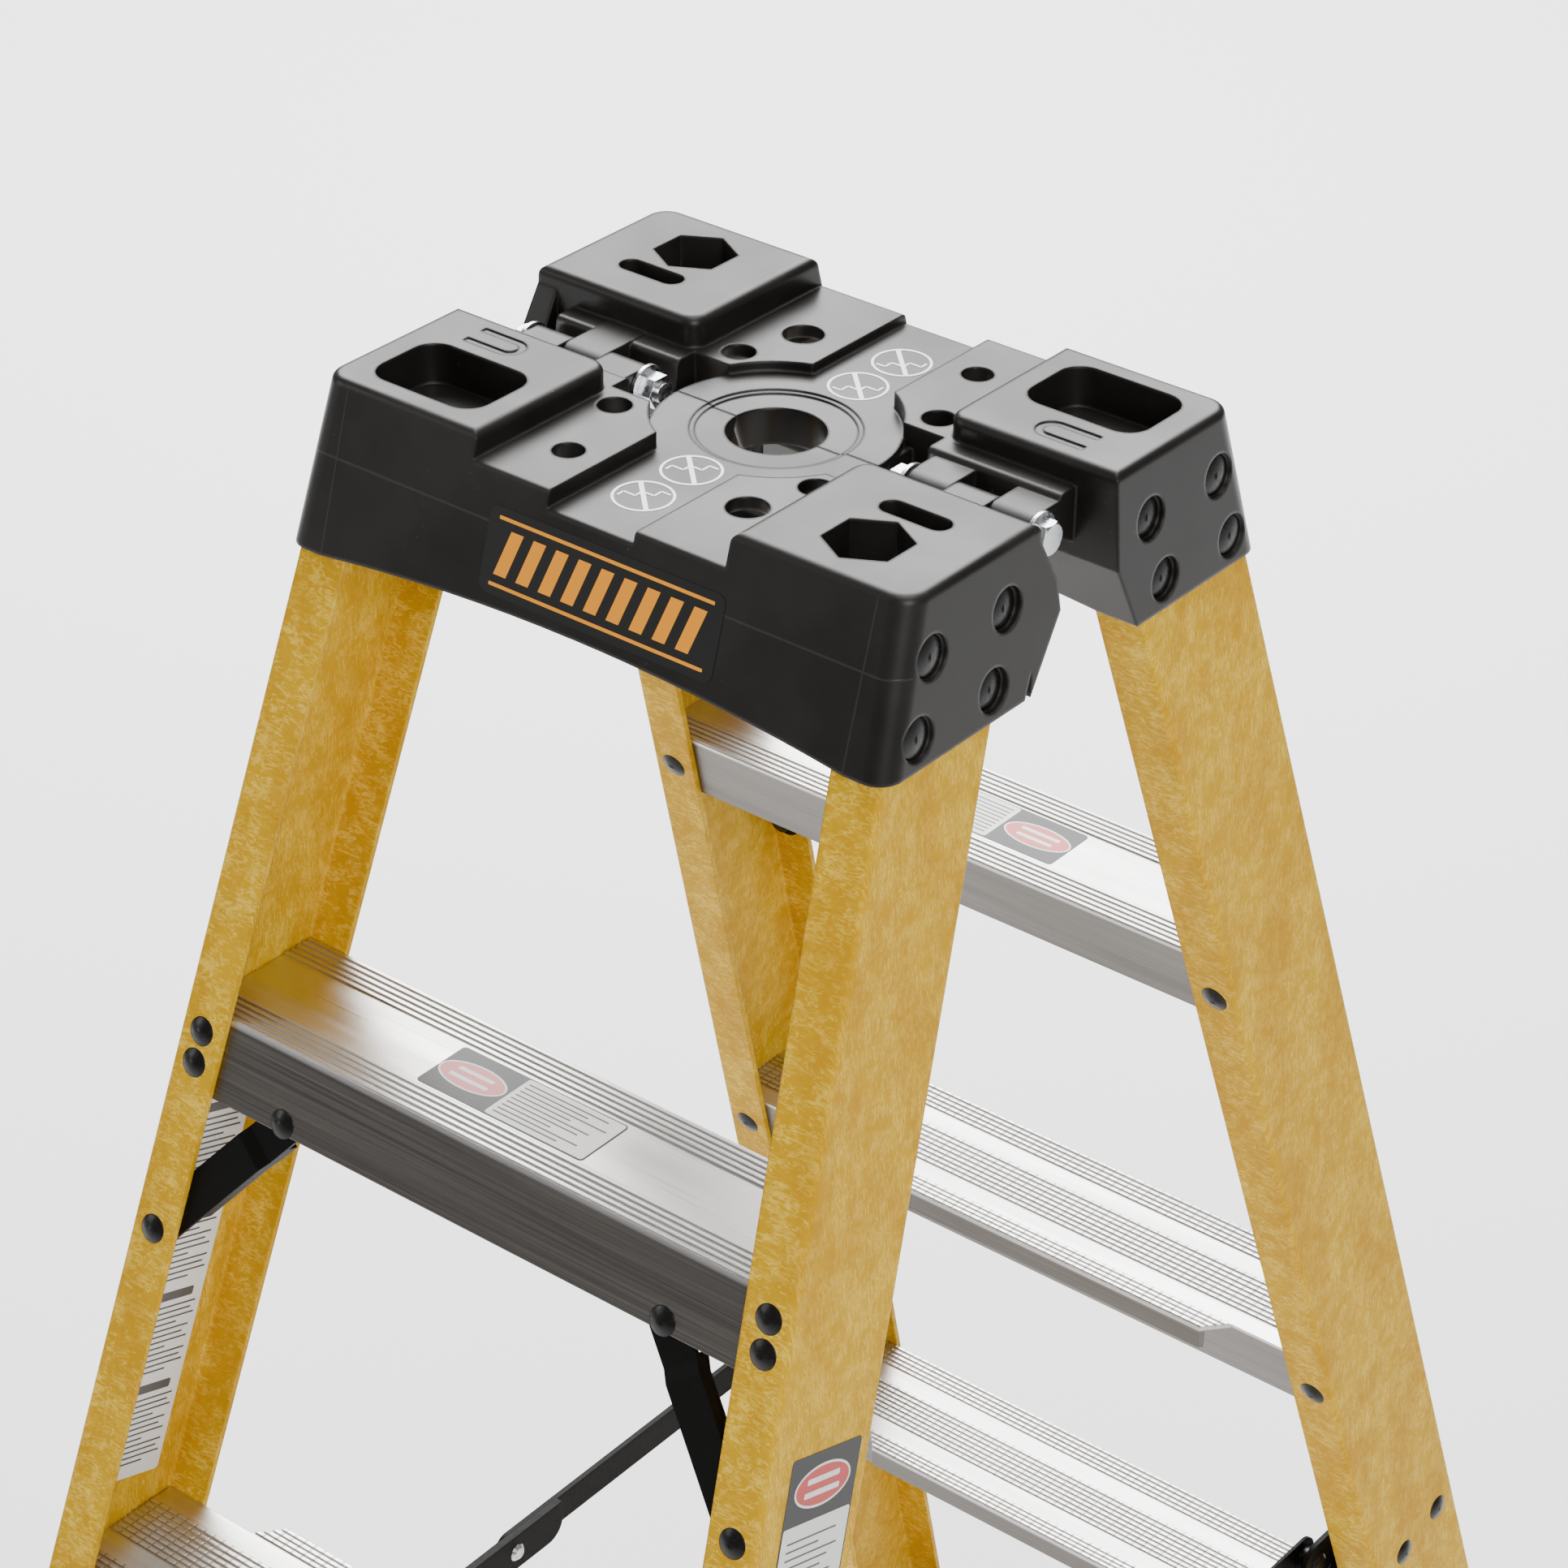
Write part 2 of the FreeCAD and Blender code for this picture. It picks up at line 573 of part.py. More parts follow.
def rail_profile(clear):
    """C-shaped bar of the right-hand front rail, grown by a clearance."""
    outer = Part.makeBox(RAIL_FLANGE + 2 * clear, RAIL_DEPTH + 2 * clear, 2200.0, V(-clear, -clear, -150.0))
    corners = []
    for edge in outer.Edges:
        a, b = edge.Vertexes[0].Point, edge.Vertexes[1].Point
        if abs(a.z - b.z) > 100.0 and a.x < 1.0:
            corners.append(edge)
    outer = outer.makeFillet(RAIL_ROUND, corners)
    wall = RAIL_WALL + clear
    inner_depth = RAIL_DEPTH - 2 * wall + 2 * clear
    inner = Part.makeBox(RAIL_FLANGE + 5.0, inner_depth, 2300.0, V(wall, wall - clear, -200.0))
    inner_edges = []
    for edge in inner.Edges:
        a, b = edge.Vertexes[0].Point, edge.Vertexes[1].Point
        if abs(a.z - b.z) > 100.0 and a.x < wall + 1.0:
            inner_edges.append(edge)
    inner = inner.makeFillet(RAIL_INNER_ROUND, inner_edges)
    bar = outer.cut(inner)
    bar.Placement = rail_frame()
    return bar


def step_solid(number):
    z = tread_z(number)
    front = rail_y(z) + (RAIL_WALL + SEAT_GAP) / COS_LEAN
    depth = (RAIL_DEPTH - 2.0 * (RAIL_WALL + SEAT_GAP)) / COS_LEAN
    back = front + depth
    lean = SKIRT_DROP * TAN_LEAN
    skirt = SKIRT_THICK / COS_LEAN
    low = z - SKIRT_DROP
    under = z - TREAD_THICK
    lean_under = TREAD_THICK * TAN_LEAN
    half = rail_x(z) + 60.0
    points = [
        V(-half, front, z), V(-half, back, z),
        V(-half, back - lean, low), V(-half, back - lean - skirt, low),
        V(-half, back - lean_under - skirt, under), V(-half, front - lean_under + skirt, under),
        V(-half, front - lean + skirt, low), V(-half, front - lean, low)]
    body = prism(points, V(2.0 * half, 0, 0))
    starts = [front + 0.6 + index * RIB_PITCH for index in range(EDGE_RIBS)]
    if number == 1:
        starts += [back - 0.6 - RIB_WIDTH - index * RIB_PITCH for index in range(EDGE_RIBS)]
    else:
        starts += [front + MIDDLE_RIBS_FROM + index * RIB_PITCH for index in range(MIDDLE_RIBS)]
    ribs = [box(-half, half, y, y + RIB_WIDTH, z - 0.5, z + RIB_HEIGHT) for y in starts]
    body = body.fuse(ribs).removeSplitter()
    # saw both ends to the inside faces of the rail webs
    web_face = RAIL_WALL + RAIL_INNER_ROUND
    keep_right = rail_block(web_face, 700.0, -40.0, RAIL_DEPTH + 60.0, z - 80.0, z + 20.0)
    body = body.common(keep_right).common(mirror_x(keep_right))
    if number > 1:
        body = body.fuse(step_nose(z, back)).removeSplitter()
    return body


def step_nose(z, back):
    """Ribbed nose along the hinge side of a lower tread, its ends cut at a slant."""
    root = rail_x(z) - RAIL_WALL - NOSE_END
    tip = root - NOSE_SLANT
    edge = back + NOSE_DEPTH
    outline = [(-root, back - 0.5), (-root, back), (-tip, edge), (tip, edge), (root, back), (root, back - 0.5)]
    nose = plan_prism(outline, z - NOSE_DROP, z)
    hollow = box(-root - 5, root + 5, back - 5, edge - SKIRT_THICK, z - NOSE_DROP - 5, z - TREAD_THICK)
    ribs = []
    for index in range(NOSE_RIBS):
        y = back + 0.7 + index * NOSE_RIB_PITCH
        ribs.append(box(-root, root, y, y + RIB_WIDTH, z - 0.5, z + RIB_HEIGHT))
    inside = plan_prism(outline, z - 1.0, z + RIB_HEIGHT)
    return nose.cut(hollow).fuse([rib.common(inside) for rib in ribs])


def brace_solid(number):
    """Right-hand knee brace from a step skirt down to the rail flange."""
    z = tread_z(number)
    top_z = z - BRACE_TOP_DROP
    foot_z = z - BRACE_FOOT_DROP
    top = (rail_x(top_z) - BRACE_REACH, 0.0)
    foot = (rail_x(foot_z) - RAIL_FLANGE / 2.0, (foot_z - top_z) / COS_LEAN)
    length = math.hypot(foot[0] - top[0], foot[1] - top[1])
    angle = math.degrees(math.atan2(foot[1] - top[1], foot[0] - top[0]))
    near = -(RAIL_WALL + 2 * SEAT_GAP + SKIRT_THICK)
    far = near - BRACE_THICK
    out = SKIRT_THICK + SEAT_GAP
    half = BRACE_WIDTH / 2.0
    strap = brace_web(0.0, length, near, far, -half, half)
    ends = [cylinder(half, V(0, 0, far), V(0, 0, 1), BRACE_THICK),
            cylinder(half, V(length, 0, far + out), V(0, 0, 1), BRACE_THICK)]
    lips = [brace_web(8.0, length - 26.0, near, far - BRACE_LIP, -half, -half + BRACE_THICK),
            brace_web(18.0, length - 26.0, near, far - BRACE_LIP, half - BRACE_THICK, half)]
    body = fuse_all([strap] + ends + lips)
    for d in (0.0, length):
        body = body.cut(cylinder(RIVET_SHANK + RIVET_FIT, V(d, 0, far - 5.0), V(0, 0, 1), 30.0))
    body.rotate(V(0, 0, 0), V(0, 0, 1), angle)
    body.translate(V(top[0], top[1], 0.0))
    body.Placement = face_frame(top_z).multiply(body.Placement)
    clear = RAIL_WALL + RAIL_INNER_ROUND + SEAT_GAP
    return body.cut(rail_block(-60.0, clear, -60.0, 160.0, foot_z - 60.0, foot_z + 60.0))


def brace_web(start, end, near, far, y0, y1):
    """Plate that steps forward at the joggle, seen across the brace as x along, z deep."""
    out = SKIRT_THICK + SEAT_GAP
    bend, level = BRACE_JOGGLE
    points = [
        V(start, y0, far), V(start, y0, near), V(bend, y0, near), V(level, y0, near + out),
        V(end, y0, near + out), V(end, y0, far + out), V(level, y0, far + out), V(bend, y0, far)]
    return prism(points, V(0, y1 - y0, 0))


def brace_points(number):
    z = tread_z(number)
    top_z = z - BRACE_TOP_DROP
    foot_z = z - BRACE_FOOT_DROP
    skirt_gap = (RAIL_WALL + SEAT_GAP)
    top = V(rail_x(top_z) - BRACE_REACH, rail_y(top_z), top_z) + DEPTH_DIR * skirt_gap
    return top, flange_point(foot_z)


def bracket_solid():
    """Right-hand front spreader bracket: plate on the web, shelf and upright ear."""
    corner_z = SPREAD_Z + BRACKET_LIFT
    plate = rail_block(
        RAIL_WALL + SEAT_GAP, RAIL_WALL + SEAT_GAP + BRACKET_THICK, 6.5, RAIL_DEPTH - 14.0,
        corner_z - 90.0, corner_z + 20.0)
    plate = slab(plate, SPREAD_Z - 38.0, SPREAD_Z + 33.0)
    floor_z = SPREAD_Z - 26.0
    reach = rail_x(corner_z) + 10.0
    y0 = -SPREAD_Y - 48.0
    shelf = box(EAR_X, reach, y0, -SPREAD_Y - 17.0, floor_z, floor_z + BRACKET_THICK)
    ear = box(EAR_X, EAR_X + BRACKET_THICK, y0, -SPREAD_Y, floor_z, SPREAD_Z + BRACKET_EAR)
    nose = cylinder(BRACKET_EAR, V(EAR_X, -SPREAD_Y, SPREAD_Z), V(1, 0, 0), BRACKET_THICK)
    below_nose = box(EAR_X - 1, EAR_X + 10, -SPREAD_Y - 14.0, -SPREAD_Y + 1.0, floor_z - 1.0, SPREAD_Z - 7.0)
    ear = ear.cut(below_nose)
    body = fuse_all([plate, shelf, ear, nose])
    beyond = rail_block(-60.0, RAIL_WALL + SEAT_GAP, -60.0, 160.0, SPREAD_Z - 120.0, SPREAD_Z + 120.0)
    hole = cylinder(PIVOT_RADIUS + PIVOT_FIT, V(EAR_X - 5, -SPREAD_Y, SPREAD_Z), V(1, 0, 0), 20.0)
    return body.cut([beyond, hole])


def bracket_seats():
    corner_z = SPREAD_Z + BRACKET_LIFT
    return [web_point(depth, corner_z - depth * SIN_LEAN) for depth in BRACKET_DEPTHS]


def shoe_solid():
    outer = rail_block(
        -SHOE_WALL, RAIL_FLANGE + SHOE_WALL, -SHOE_WALL, RAIL_DEPTH + SHOE_WALL, SHOE_BOTTOM, SHOE_TOP)
    corners = []
    for edge in outer.Edges:
        if len(edge.Vertexes) == 2 and abs(edge.Vertexes[0].Z - edge.Vertexes[1].Z) > 40.0:
            corners.append(edge)
    outer = outer.makeFillet(5.0, corners)
    rail = slab(rail_profile(0.2), RAIL_FOOT - 0.2, SHOE_TOP + 50.0)
    core = rail_block(
        RAIL_WALL + 5.0, RAIL_FLANGE + 1.0, RAIL_WALL + 5.0, RAIL_DEPTH - RAIL_WALL - 5.0,
        RAIL_FOOT + 12.0, SHOE_TOP + 50.0)
    return outer.cut([rail, core])


def pad_solid():
    reach = SHOE_WALL + PAD_OVERHANG
    pad = rail_block(-reach, RAIL_FLANGE + reach, -reach, RAIL_DEPTH + reach, 0.0, SHOE_BOTTOM - 0.05)
    corners = []
    for edge in pad.Edges:
        if len(edge.Vertexes) == 2 and abs(edge.Vertexes[0].Z - edge.Vertexes[1].Z) > 4.0:
            corners.append(edge)
    pad = pad.makeFillet(4.0, corners)
    grooves = []
    middle = pad.BoundBox.Center
    for index in range(-3, 4):
        y = middle.y + index * 12.0
        half_groove = PAD_GROOVE / 2.0
        grooves.append(box(middle.x - 60, middle.x + 60, y - half_groove, y + half_groove, -1.0, 2.0))
    return pad.cut(grooves)


def front_section():
    """Every fixed piece of the front section, as node name to shape."""
    outward = INWARD.negative()
    front_out = DEPTH_DIR.negative()
    web_holes = []
    flange_holes = []

    cap_rivets = []
    for seat in cap_rivet_seats():
        head_seat = seat + outward * (CAP_END_WALL - CAP_RIVET_SINK - 0.2)
        grip = (head_seat - seat).Length + RAIL_WALL
        cap_rivets.append(rivet(head_seat, outward, grip, CAP_RIVET_HEAD, CAP_RIVET_HEIGHT))
        web_holes.append(rivet_hole(seat, outward, RAIL_WALL))

    step_rivets = []
    step_holes = []
    for number in range(1, STEP_COUNT + 1):
        z = tread_z(number)
        seats = [(flange_point(z - drop), front_out) for drop in STEP_RIVET_DROPS]
        seats.append((rear_flange_point(z - REAR_RIVET_DROP), DEPTH_DIR))
        for seat, direction in seats:
            grip = RAIL_WALL + SEAT_GAP + SKIRT_THICK
            step_rivets.append(rivet(seat, direction, grip, RIVET_HEAD, RIVET_HEAD_HEIGHT))
            hole = rivet_hole(seat, direction, grip)
            flange_holes.append(hole)
            step_holes.append((number, hole))

    brace_rivets = []
    for number in BRACE_STEPS:
        top, foot = brace_points(number)
        skirt_grip = SKIRT_THICK + SEAT_GAP + BRACE_THICK
        rail_grip = RAIL_WALL + 2 * SEAT_GAP + SKIRT_THICK + BRACE_THICK
        brace_rivets.append(rivet(top, front_out, skirt_grip, RIVET_HEAD, RIVET_HEAD_HEIGHT))
        brace_rivets.append(rivet(foot, front_out, rail_grip, RIVET_HEAD, RIVET_HEAD_HEIGHT))
        step_holes.append((number, rivet_hole(top, front_out, skirt_grip)))
        flange_holes.append(rivet_hole(foot, front_out, rail_grip))

    bracket_rivets = []
    for seat in bracket_seats():
        grip = RAIL_WALL + SEAT_GAP + BRACKET_THICK
        bracket_rivets.append(rivet(seat, outward, grip, RIVET_HEAD, RIVET_HEAD_HEIGHT))
        web_holes.append(rivet_hole(seat, outward, grip))
    bracket_holes = [rivet_hole(seat, outward, 8.0) for seat in bracket_seats()]

    rail = slab(rail_profile(0.0), RAIL_FOOT, RAIL_HEAD)
    rail = rail.cut(web_holes + flange_holes)

    nodes = {"cap_half": cap_half(), "rail_right": rail, "rail_left": mirror_x(rail)}
    for number in range(1, STEP_COUNT + 1):
        holes = [h for n, h in step_holes if n == number]
        holes += [mirror_x(h) for h in holes]
        nodes["step_%d" % number] = step_solid(number).cut(holes)
    for number, label in zip(BRACE_STEPS, ("upper", "lower")):
        brace = brace_solid(number)
        nodes["brace_%s_right" % label] = brace
        nodes["brace_%s_left" % label] = mirror_x(brace)
    bracket = bracket_solid().cut(bracket_holes)
    nodes["bracket_right"] = bracket
    nodes["bracket_left"] = mirror_x(bracket)
    shoe = shoe_solid()
    pad = pad_solid()
    nodes["shoe_right"] = shoe
    nodes["shoe_left"] = mirror_x(shoe)
    nodes["foot_pads"] = Part.makeCompound([pad, mirror_x(pad)])
    nodes["cap_rivets"] = Part.makeCompound(cap_rivets + [mirror_x(r) for r in cap_rivets])
    nodes["step_rivets"] = Part.makeCompound(step_rivets + [mirror_x(r) for r in step_rivets])
    nodes["brace_rivets"] = Part.makeCompound(brace_rivets + [mirror_x(r) for r in brace_rivets])
    nodes["bracket_rivets"] = Part.makeCompound(bracket_rivets + [mirror_x(r) for r in bracket_rivets])
    tray_floor = CAP_TOP - TRAY_DEPTH - CAP_WALL
    nodes["tray_magnet"] = box(-124.0, -98.0, -96.0, -73.0, tray_floor - 4.05, tray_floor - 0.05)
    return nodes


# ------------------------------------------------------------------ hinge hardware

def hinge_hardware():
    """Bolt, washers and nut of the right-hand hinge."""
    outer = lug_outer() + FACE_GAP
    inner = LUG_INNER - FACE_GAP
    head_x = outer + WASHER_THICK
    nut_x = inner - WASHER_THICK
    flat = BOLT_HEAD_FLATS / 2.0 / math.cos(math.radians(30.0))
    head = hexagon(flat, head_x, BOLT_HEAD_HEIGHT, 0.0, HINGE_Z)
    chamfer_start = V(head_x + BOLT_HEAD_HEIGHT - 3.4, 0, HINGE_Z)
    chamfer = Part.makeCone(flat + 2.2, flat - 1.2, 3.4, chamfer_start, V(1, 0, 0))
    head = head.common(chamfer.fuse(cylinder(flat + 1.0, V(head_x, 0, HINGE_Z), V(1, 0, 0), 2.9)))
    shank_end = nut_x - NUT_HEIGHT - 2.0
    shank = cylinder(BOLT_RADIUS, V(shank_end, 0, HINGE_Z), V(1, 0, 0), head_x - shank_end + 0.5)
    bolt = fuse_all([head, shank])
    hole = cylinder(BOLT_RADIUS + BOLT_FIT, V(shank_end - 5, 0, HINGE_Z), V(1, 0, 0), 120.0)
    washers = []
    for x in (outer, nut_x):
        washers.append(cylinder(WASHER_RADIUS, V(x, 0, HINGE_Z), V(1, 0, 0), WASHER_THICK).cut(hole))
    nut = hexagon(flat, nut_x - NUT_HEIGHT, NUT_HEIGHT, 0.0, HINGE_Z).cut(hole)
    return bolt, washers, nut


# ------------------------------------------------------------------ spreaders

def link_bores(x0):
    bore = PIVOT_RADIUS + PIVOT_FIT
    return [cylinder(bore, V(x0 - 5, y, SPREAD_Z), V(1, 0, 0), 20.0) for y in (-SPREAD_Y, 0.0)]


def flat_link():
    """Right-hand front link: a plain bar with round ends."""
    half = FLAT_HEIGHT / 2.0
    bar = box(FLAT_X, FLAT_X + FLAT_THICK, -SPREAD_Y, 0.0, SPREAD_Z - half, SPREAD_Z + half)
    ends = [cylinder(half, V(FLAT_X, y, SPREAD_Z), V(1, 0, 0), FLAT_THICK) for y in (-SPREAD_Y, 0.0)]
    return fuse_all([bar] + ends).cut(link_bores(FLAT_X))


def angle_link():
    """Left-hand front link, drawn on the right: an angle whose top lip reaches towards the flat link."""
    half = ANGLE_HEIGHT / 2.0
    low = SPREAD_Z - half
    high = SPREAD_Z + half
    corner = 12.0
    web = box(ANGLE_X, ANGLE_X + ANGLE_SHEET, -SPREAD_Y, ANGLE_OVERRUN, low, high)
    square = box(ANGLE_X - 1, ANGLE_X + 10, ANGLE_OVERRUN - corner, ANGLE_OVERRUN + 1, low - 1, low + corner)
    centre = V(ANGLE_X - 1, ANGLE_OVERRUN - corner, low + corner)
    web = web.cut(square.cut(cylinder(corner, centre, V(1, 0, 0), 12.0)))
    tail = cylinder(half, V(ANGLE_X, -SPREAD_Y, SPREAD_Z), V(1, 0, 0), ANGLE_SHEET)
    top = box(ANGLE_X, ANGLE_X + ANGLE_WIDTH, -SPREAD_Y + 30.0, ANGLE_OVERRUN, high - ANGLE_SHEET, high)
    return fuse_all([web, tail, top]).cut(link_bores(ANGLE_X))


def pin(x0, x1, y, head, sides, collar):
    """Pin along X with low domed heads at the chosen ends and an optional collar."""
    body = [cylinder(PIVOT_RADIUS, V(x0, y, SPREAD_Z), V(1, 0, 0), x1 - x0)]
    for side in sides:
        x = x0 if side < 0 else x1
        foot = V(x, y, SPREAD_Z)
        body.append(Part.makeCone(head, head - 2.0, PIVOT_HEAD_HEIGHT, foot, V(side, 0, 0)))
    if collar:
        start, end = collar
        body.append(cylinder(COLLAR_RADIUS, V(start, y, SPREAD_Z), V(1, 0, 0), end - start))
    return fuse_all(body)


def spreader_nodes():
    """Front links and pins; the rear ones are the same turned half a turn."""
    seam = FLAT_X - FACE_GAP
    ear_end = EAR_X + BRACKET_THICK + 0.1
    collar = (ANGLE_X + ANGLE_SHEET + FACE_GAP, EAR_X - FACE_GAP)
    knuckle_right = pin(seam + 0.1, FLAT_X + FLAT_THICK + 0.05, 0.0, KNUCKLE_HEAD, (1,), None)
    knuckle_left = mirror_x(pin(ANGLE_X - 0.05, seam - 0.1, 0.0, KNUCKLE_HEAD, (-1,), None))
    pivot_right = pin(FLAT_X - FACE_GAP, ear_end, -SPREAD_Y, PIVOT_HEAD, (-1, 1), None)
    pivot_left = mirror_x(pin(ANGLE_X - FACE_GAP, ear_end, -SPREAD_Y, PIVOT_HEAD, (-1, 1), collar))
    return flat_link(), mirror_x(angle_link()), knuckle_right, knuckle_left, pivot_right, pivot_left


# ------------------------------------------------------------------ assembly

def swap_side(name):
    if name.endswith("_right"):
        return name[:-6] + "_left"
    if name.endswith("_left"):
        return name[:-5] + "_right"
    return name


def build():
    shapes = {}
    for name, shape in front_section().items():
        shapes["front_" + name] = shape
        shapes["rear_" + swap_side(name)] = half_turn(shape)

    bolt, washers, nut = hinge_hardware()
    shapes["hinge_bolts"] = Part.makeCompound([bolt, half_turn(bolt)])
    shapes["hinge_washers"] = Part.makeCompound(washers + [half_turn(w) for w in washers])
    shapes["hinge_nuts"] = Part.makeCompound([nut, half_turn(nut)])

    right, left, knuckle_right, knuckle_left, pivot_right, pivot_left = spreader_nodes()
    shapes["spreader_front_right"] = right
    shapes["spreader_front_left"] = left
    shapes["spreader_rear_left"] = half_turn(right)
    shapes["spreader_rear_right"] = half_turn(left)
    shapes["knuckle_front_right"] = knuckle_right
    shapes["knuckle_front_left"] = knuckle_left
    shapes["knuckle_rear_left"] = half_turn(knuckle_right)
    shapes["knuckle_rear_right"] = half_turn(knuckle_left)
    shapes["pivots_front"] = Part.makeCompound([pivot_right, pivot_left])
    shapes["pivots_rear"] = Part.makeCompound([half_turn(pivot_right), half_turn(pivot_left)])
    return shapes


os.makedirs("parts", exist_ok=True)
for node, shape in build().items():
    shape.exportStep("parts/" + node + ".step")
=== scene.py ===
import math

import bpy
import numpy as np
from bpy.props import FloatProperty, FloatVectorProperty, PointerProperty
from mathutils import Matrix, Vector


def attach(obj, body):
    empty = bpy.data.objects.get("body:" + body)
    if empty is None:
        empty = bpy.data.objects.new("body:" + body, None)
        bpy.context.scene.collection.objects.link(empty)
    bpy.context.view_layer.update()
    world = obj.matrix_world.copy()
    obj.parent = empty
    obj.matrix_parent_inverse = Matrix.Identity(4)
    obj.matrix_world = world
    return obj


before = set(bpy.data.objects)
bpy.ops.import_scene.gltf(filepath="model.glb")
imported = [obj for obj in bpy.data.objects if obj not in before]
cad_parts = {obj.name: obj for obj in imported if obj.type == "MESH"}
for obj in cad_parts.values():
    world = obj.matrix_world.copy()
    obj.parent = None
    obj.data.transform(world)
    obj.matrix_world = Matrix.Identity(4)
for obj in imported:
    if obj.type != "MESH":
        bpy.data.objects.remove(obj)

bl_info = {
    "name": "Twin-front step ladder looks",
    "blender": (4, 5, 0),
    "version": (1, 0, 0),
    "location": "View3D > Sidebar > Ladder",
    "description": "Procedural finishes, plain labels and marks for a hinged two-sided step ladder",
    "category": "Object",
}


# ---------------------------------------------------------------------------
# settings
# ---------------------------------------------------------------------------

def tint(name, color, description):
    """Colour setting with its default."""
    return FloatVectorProperty(name=name, subtype="COLOR", size=3, default=color, description=description)


def length(name, metres, description):
    """Length setting with its default in metres."""
    return FloatProperty(name=name, default=metres, unit="LENGTH", description=description)


class LadderFinish(bpy.types.PropertyGroup):
    """Colours and surface detail of the CAD nodes."""
    rail_yellow: tint("Rail yellow", (0.60, 0.305, 0.0), "Body colour of the fibreglass rails")
    rail_pale: tint("Rail pale", (0.68, 0.385, 0.001), "Colour of the rails where the glass lies thick")
    strand: tint("Strand", (1.0, 0.70, 0.09), "Colour of the glass strands that show through the resin")
    resin: tint("Resin", (0.52, 0.22, 0.0), "Colour of the small pits full of resin")
    moulding: tint("Moulding", (0.0070, 0.0058, 0.0050), "Colour of the black moulded cap")
    metal: tint("Aluminium", (0.66, 0.65, 0.635), "Colour of the treads")
    # painted shade: the skirt colour is the aluminium of the treads darkened for the shade on the upright
    # skirts
    skirt: tint("Skirt", (0.135, 0.125, 0.115), "Colour of the duller step skirts")
    paint: tint("Paint", (0.0028, 0.0025, 0.0022), "Colour of the black painted steel")
    strand_scale: FloatProperty(name="Strand scale", default=55.0,
                                description="Size of the strand pattern, per metre")


class LadderLabels(bpy.types.PropertyGroup):
    """Plain labels and round marks, all on the front section; the rear ones are turned half a turn."""
    thickness: length("Thickness", 0.0002, "Thickness of a label")
    print_lift: length("Print lift", 0.00007, "How far a printed patch stands above its label")
    line: length("Line", 0.0009, "Height of a printed line")
    mark_radius: length("Mark radius", 0.0142, "Outer radius of a round mark")
    mark_line: length("Mark line", 0.0013, "Line width of a round mark")


class LadderStage(bpy.types.PropertyGroup):
    """Floor, lights and camera."""
    lens: FloatProperty(name="Lens", default=103.78, description="Focal length in mm on a 36 mm sensor")
    azimuth: FloatProperty(name="Azimuth", default=37.853, description="Degrees round from the front")
    elevation: FloatProperty(name="Elevation", default=31.397, description="Degrees above the horizon")
    roll: FloatProperty(name="Roll", default=1.113, description="Degrees of camera roll")
    eye: FloatVectorProperty(name="Eye", subtype="XYZ", size=3, default=(1.10844, -1.41571, 2.6376),
                             description="Camera position in metres")


# ---------------------------------------------------------------------------
# ladder geometry shared by the finishes and the labels, metres
# ---------------------------------------------------------------------------

CAP_TOP = 1.745718
CAP_DEPTH = 0.078
CAP_DRAFT = 0.0028
CAP_FRONT = 0.118
CENTRE_LEVEL = CAP_TOP - 0.020
PARTING_X = 0.1475
PARTING_Z = 1.7115
STEPS = 5
TREAD_RISE = 0.28914367
TOP_TREAD = STEPS * TREAD_RISE
LEAN = math.radians(18.0)
SPLAY = math.radians(4.3)
SKIRT_SLOPE = math.tan(LEAN) - CAP_DRAFT / CAP_DEPTH
RAIL_ORIGIN = Vector((0.1592, -0.1102, CAP_TOP))
DOWN = Vector((math.tan(SPLAY), -math.tan(LEAN), -1.0)).normalized()
ACROSS = Vector((0.0, math.cos(LEAN), -math.sin(LEAN)))
INWARD = ACROSS.cross(DOWN).normalized()


def rail_point(inward, depth, down, side):
    """Point on the front rail of one side: inward from the web, along the depth, down the rail."""
    point = RAIL_ORIGIN + INWARD * inward + ACROSS * depth + DOWN * down
    return Vector((side * point.x, point.y, point.z))


# ---------------------------------------------------------------------------
# node helpers
# ---------------------------------------------------------------------------

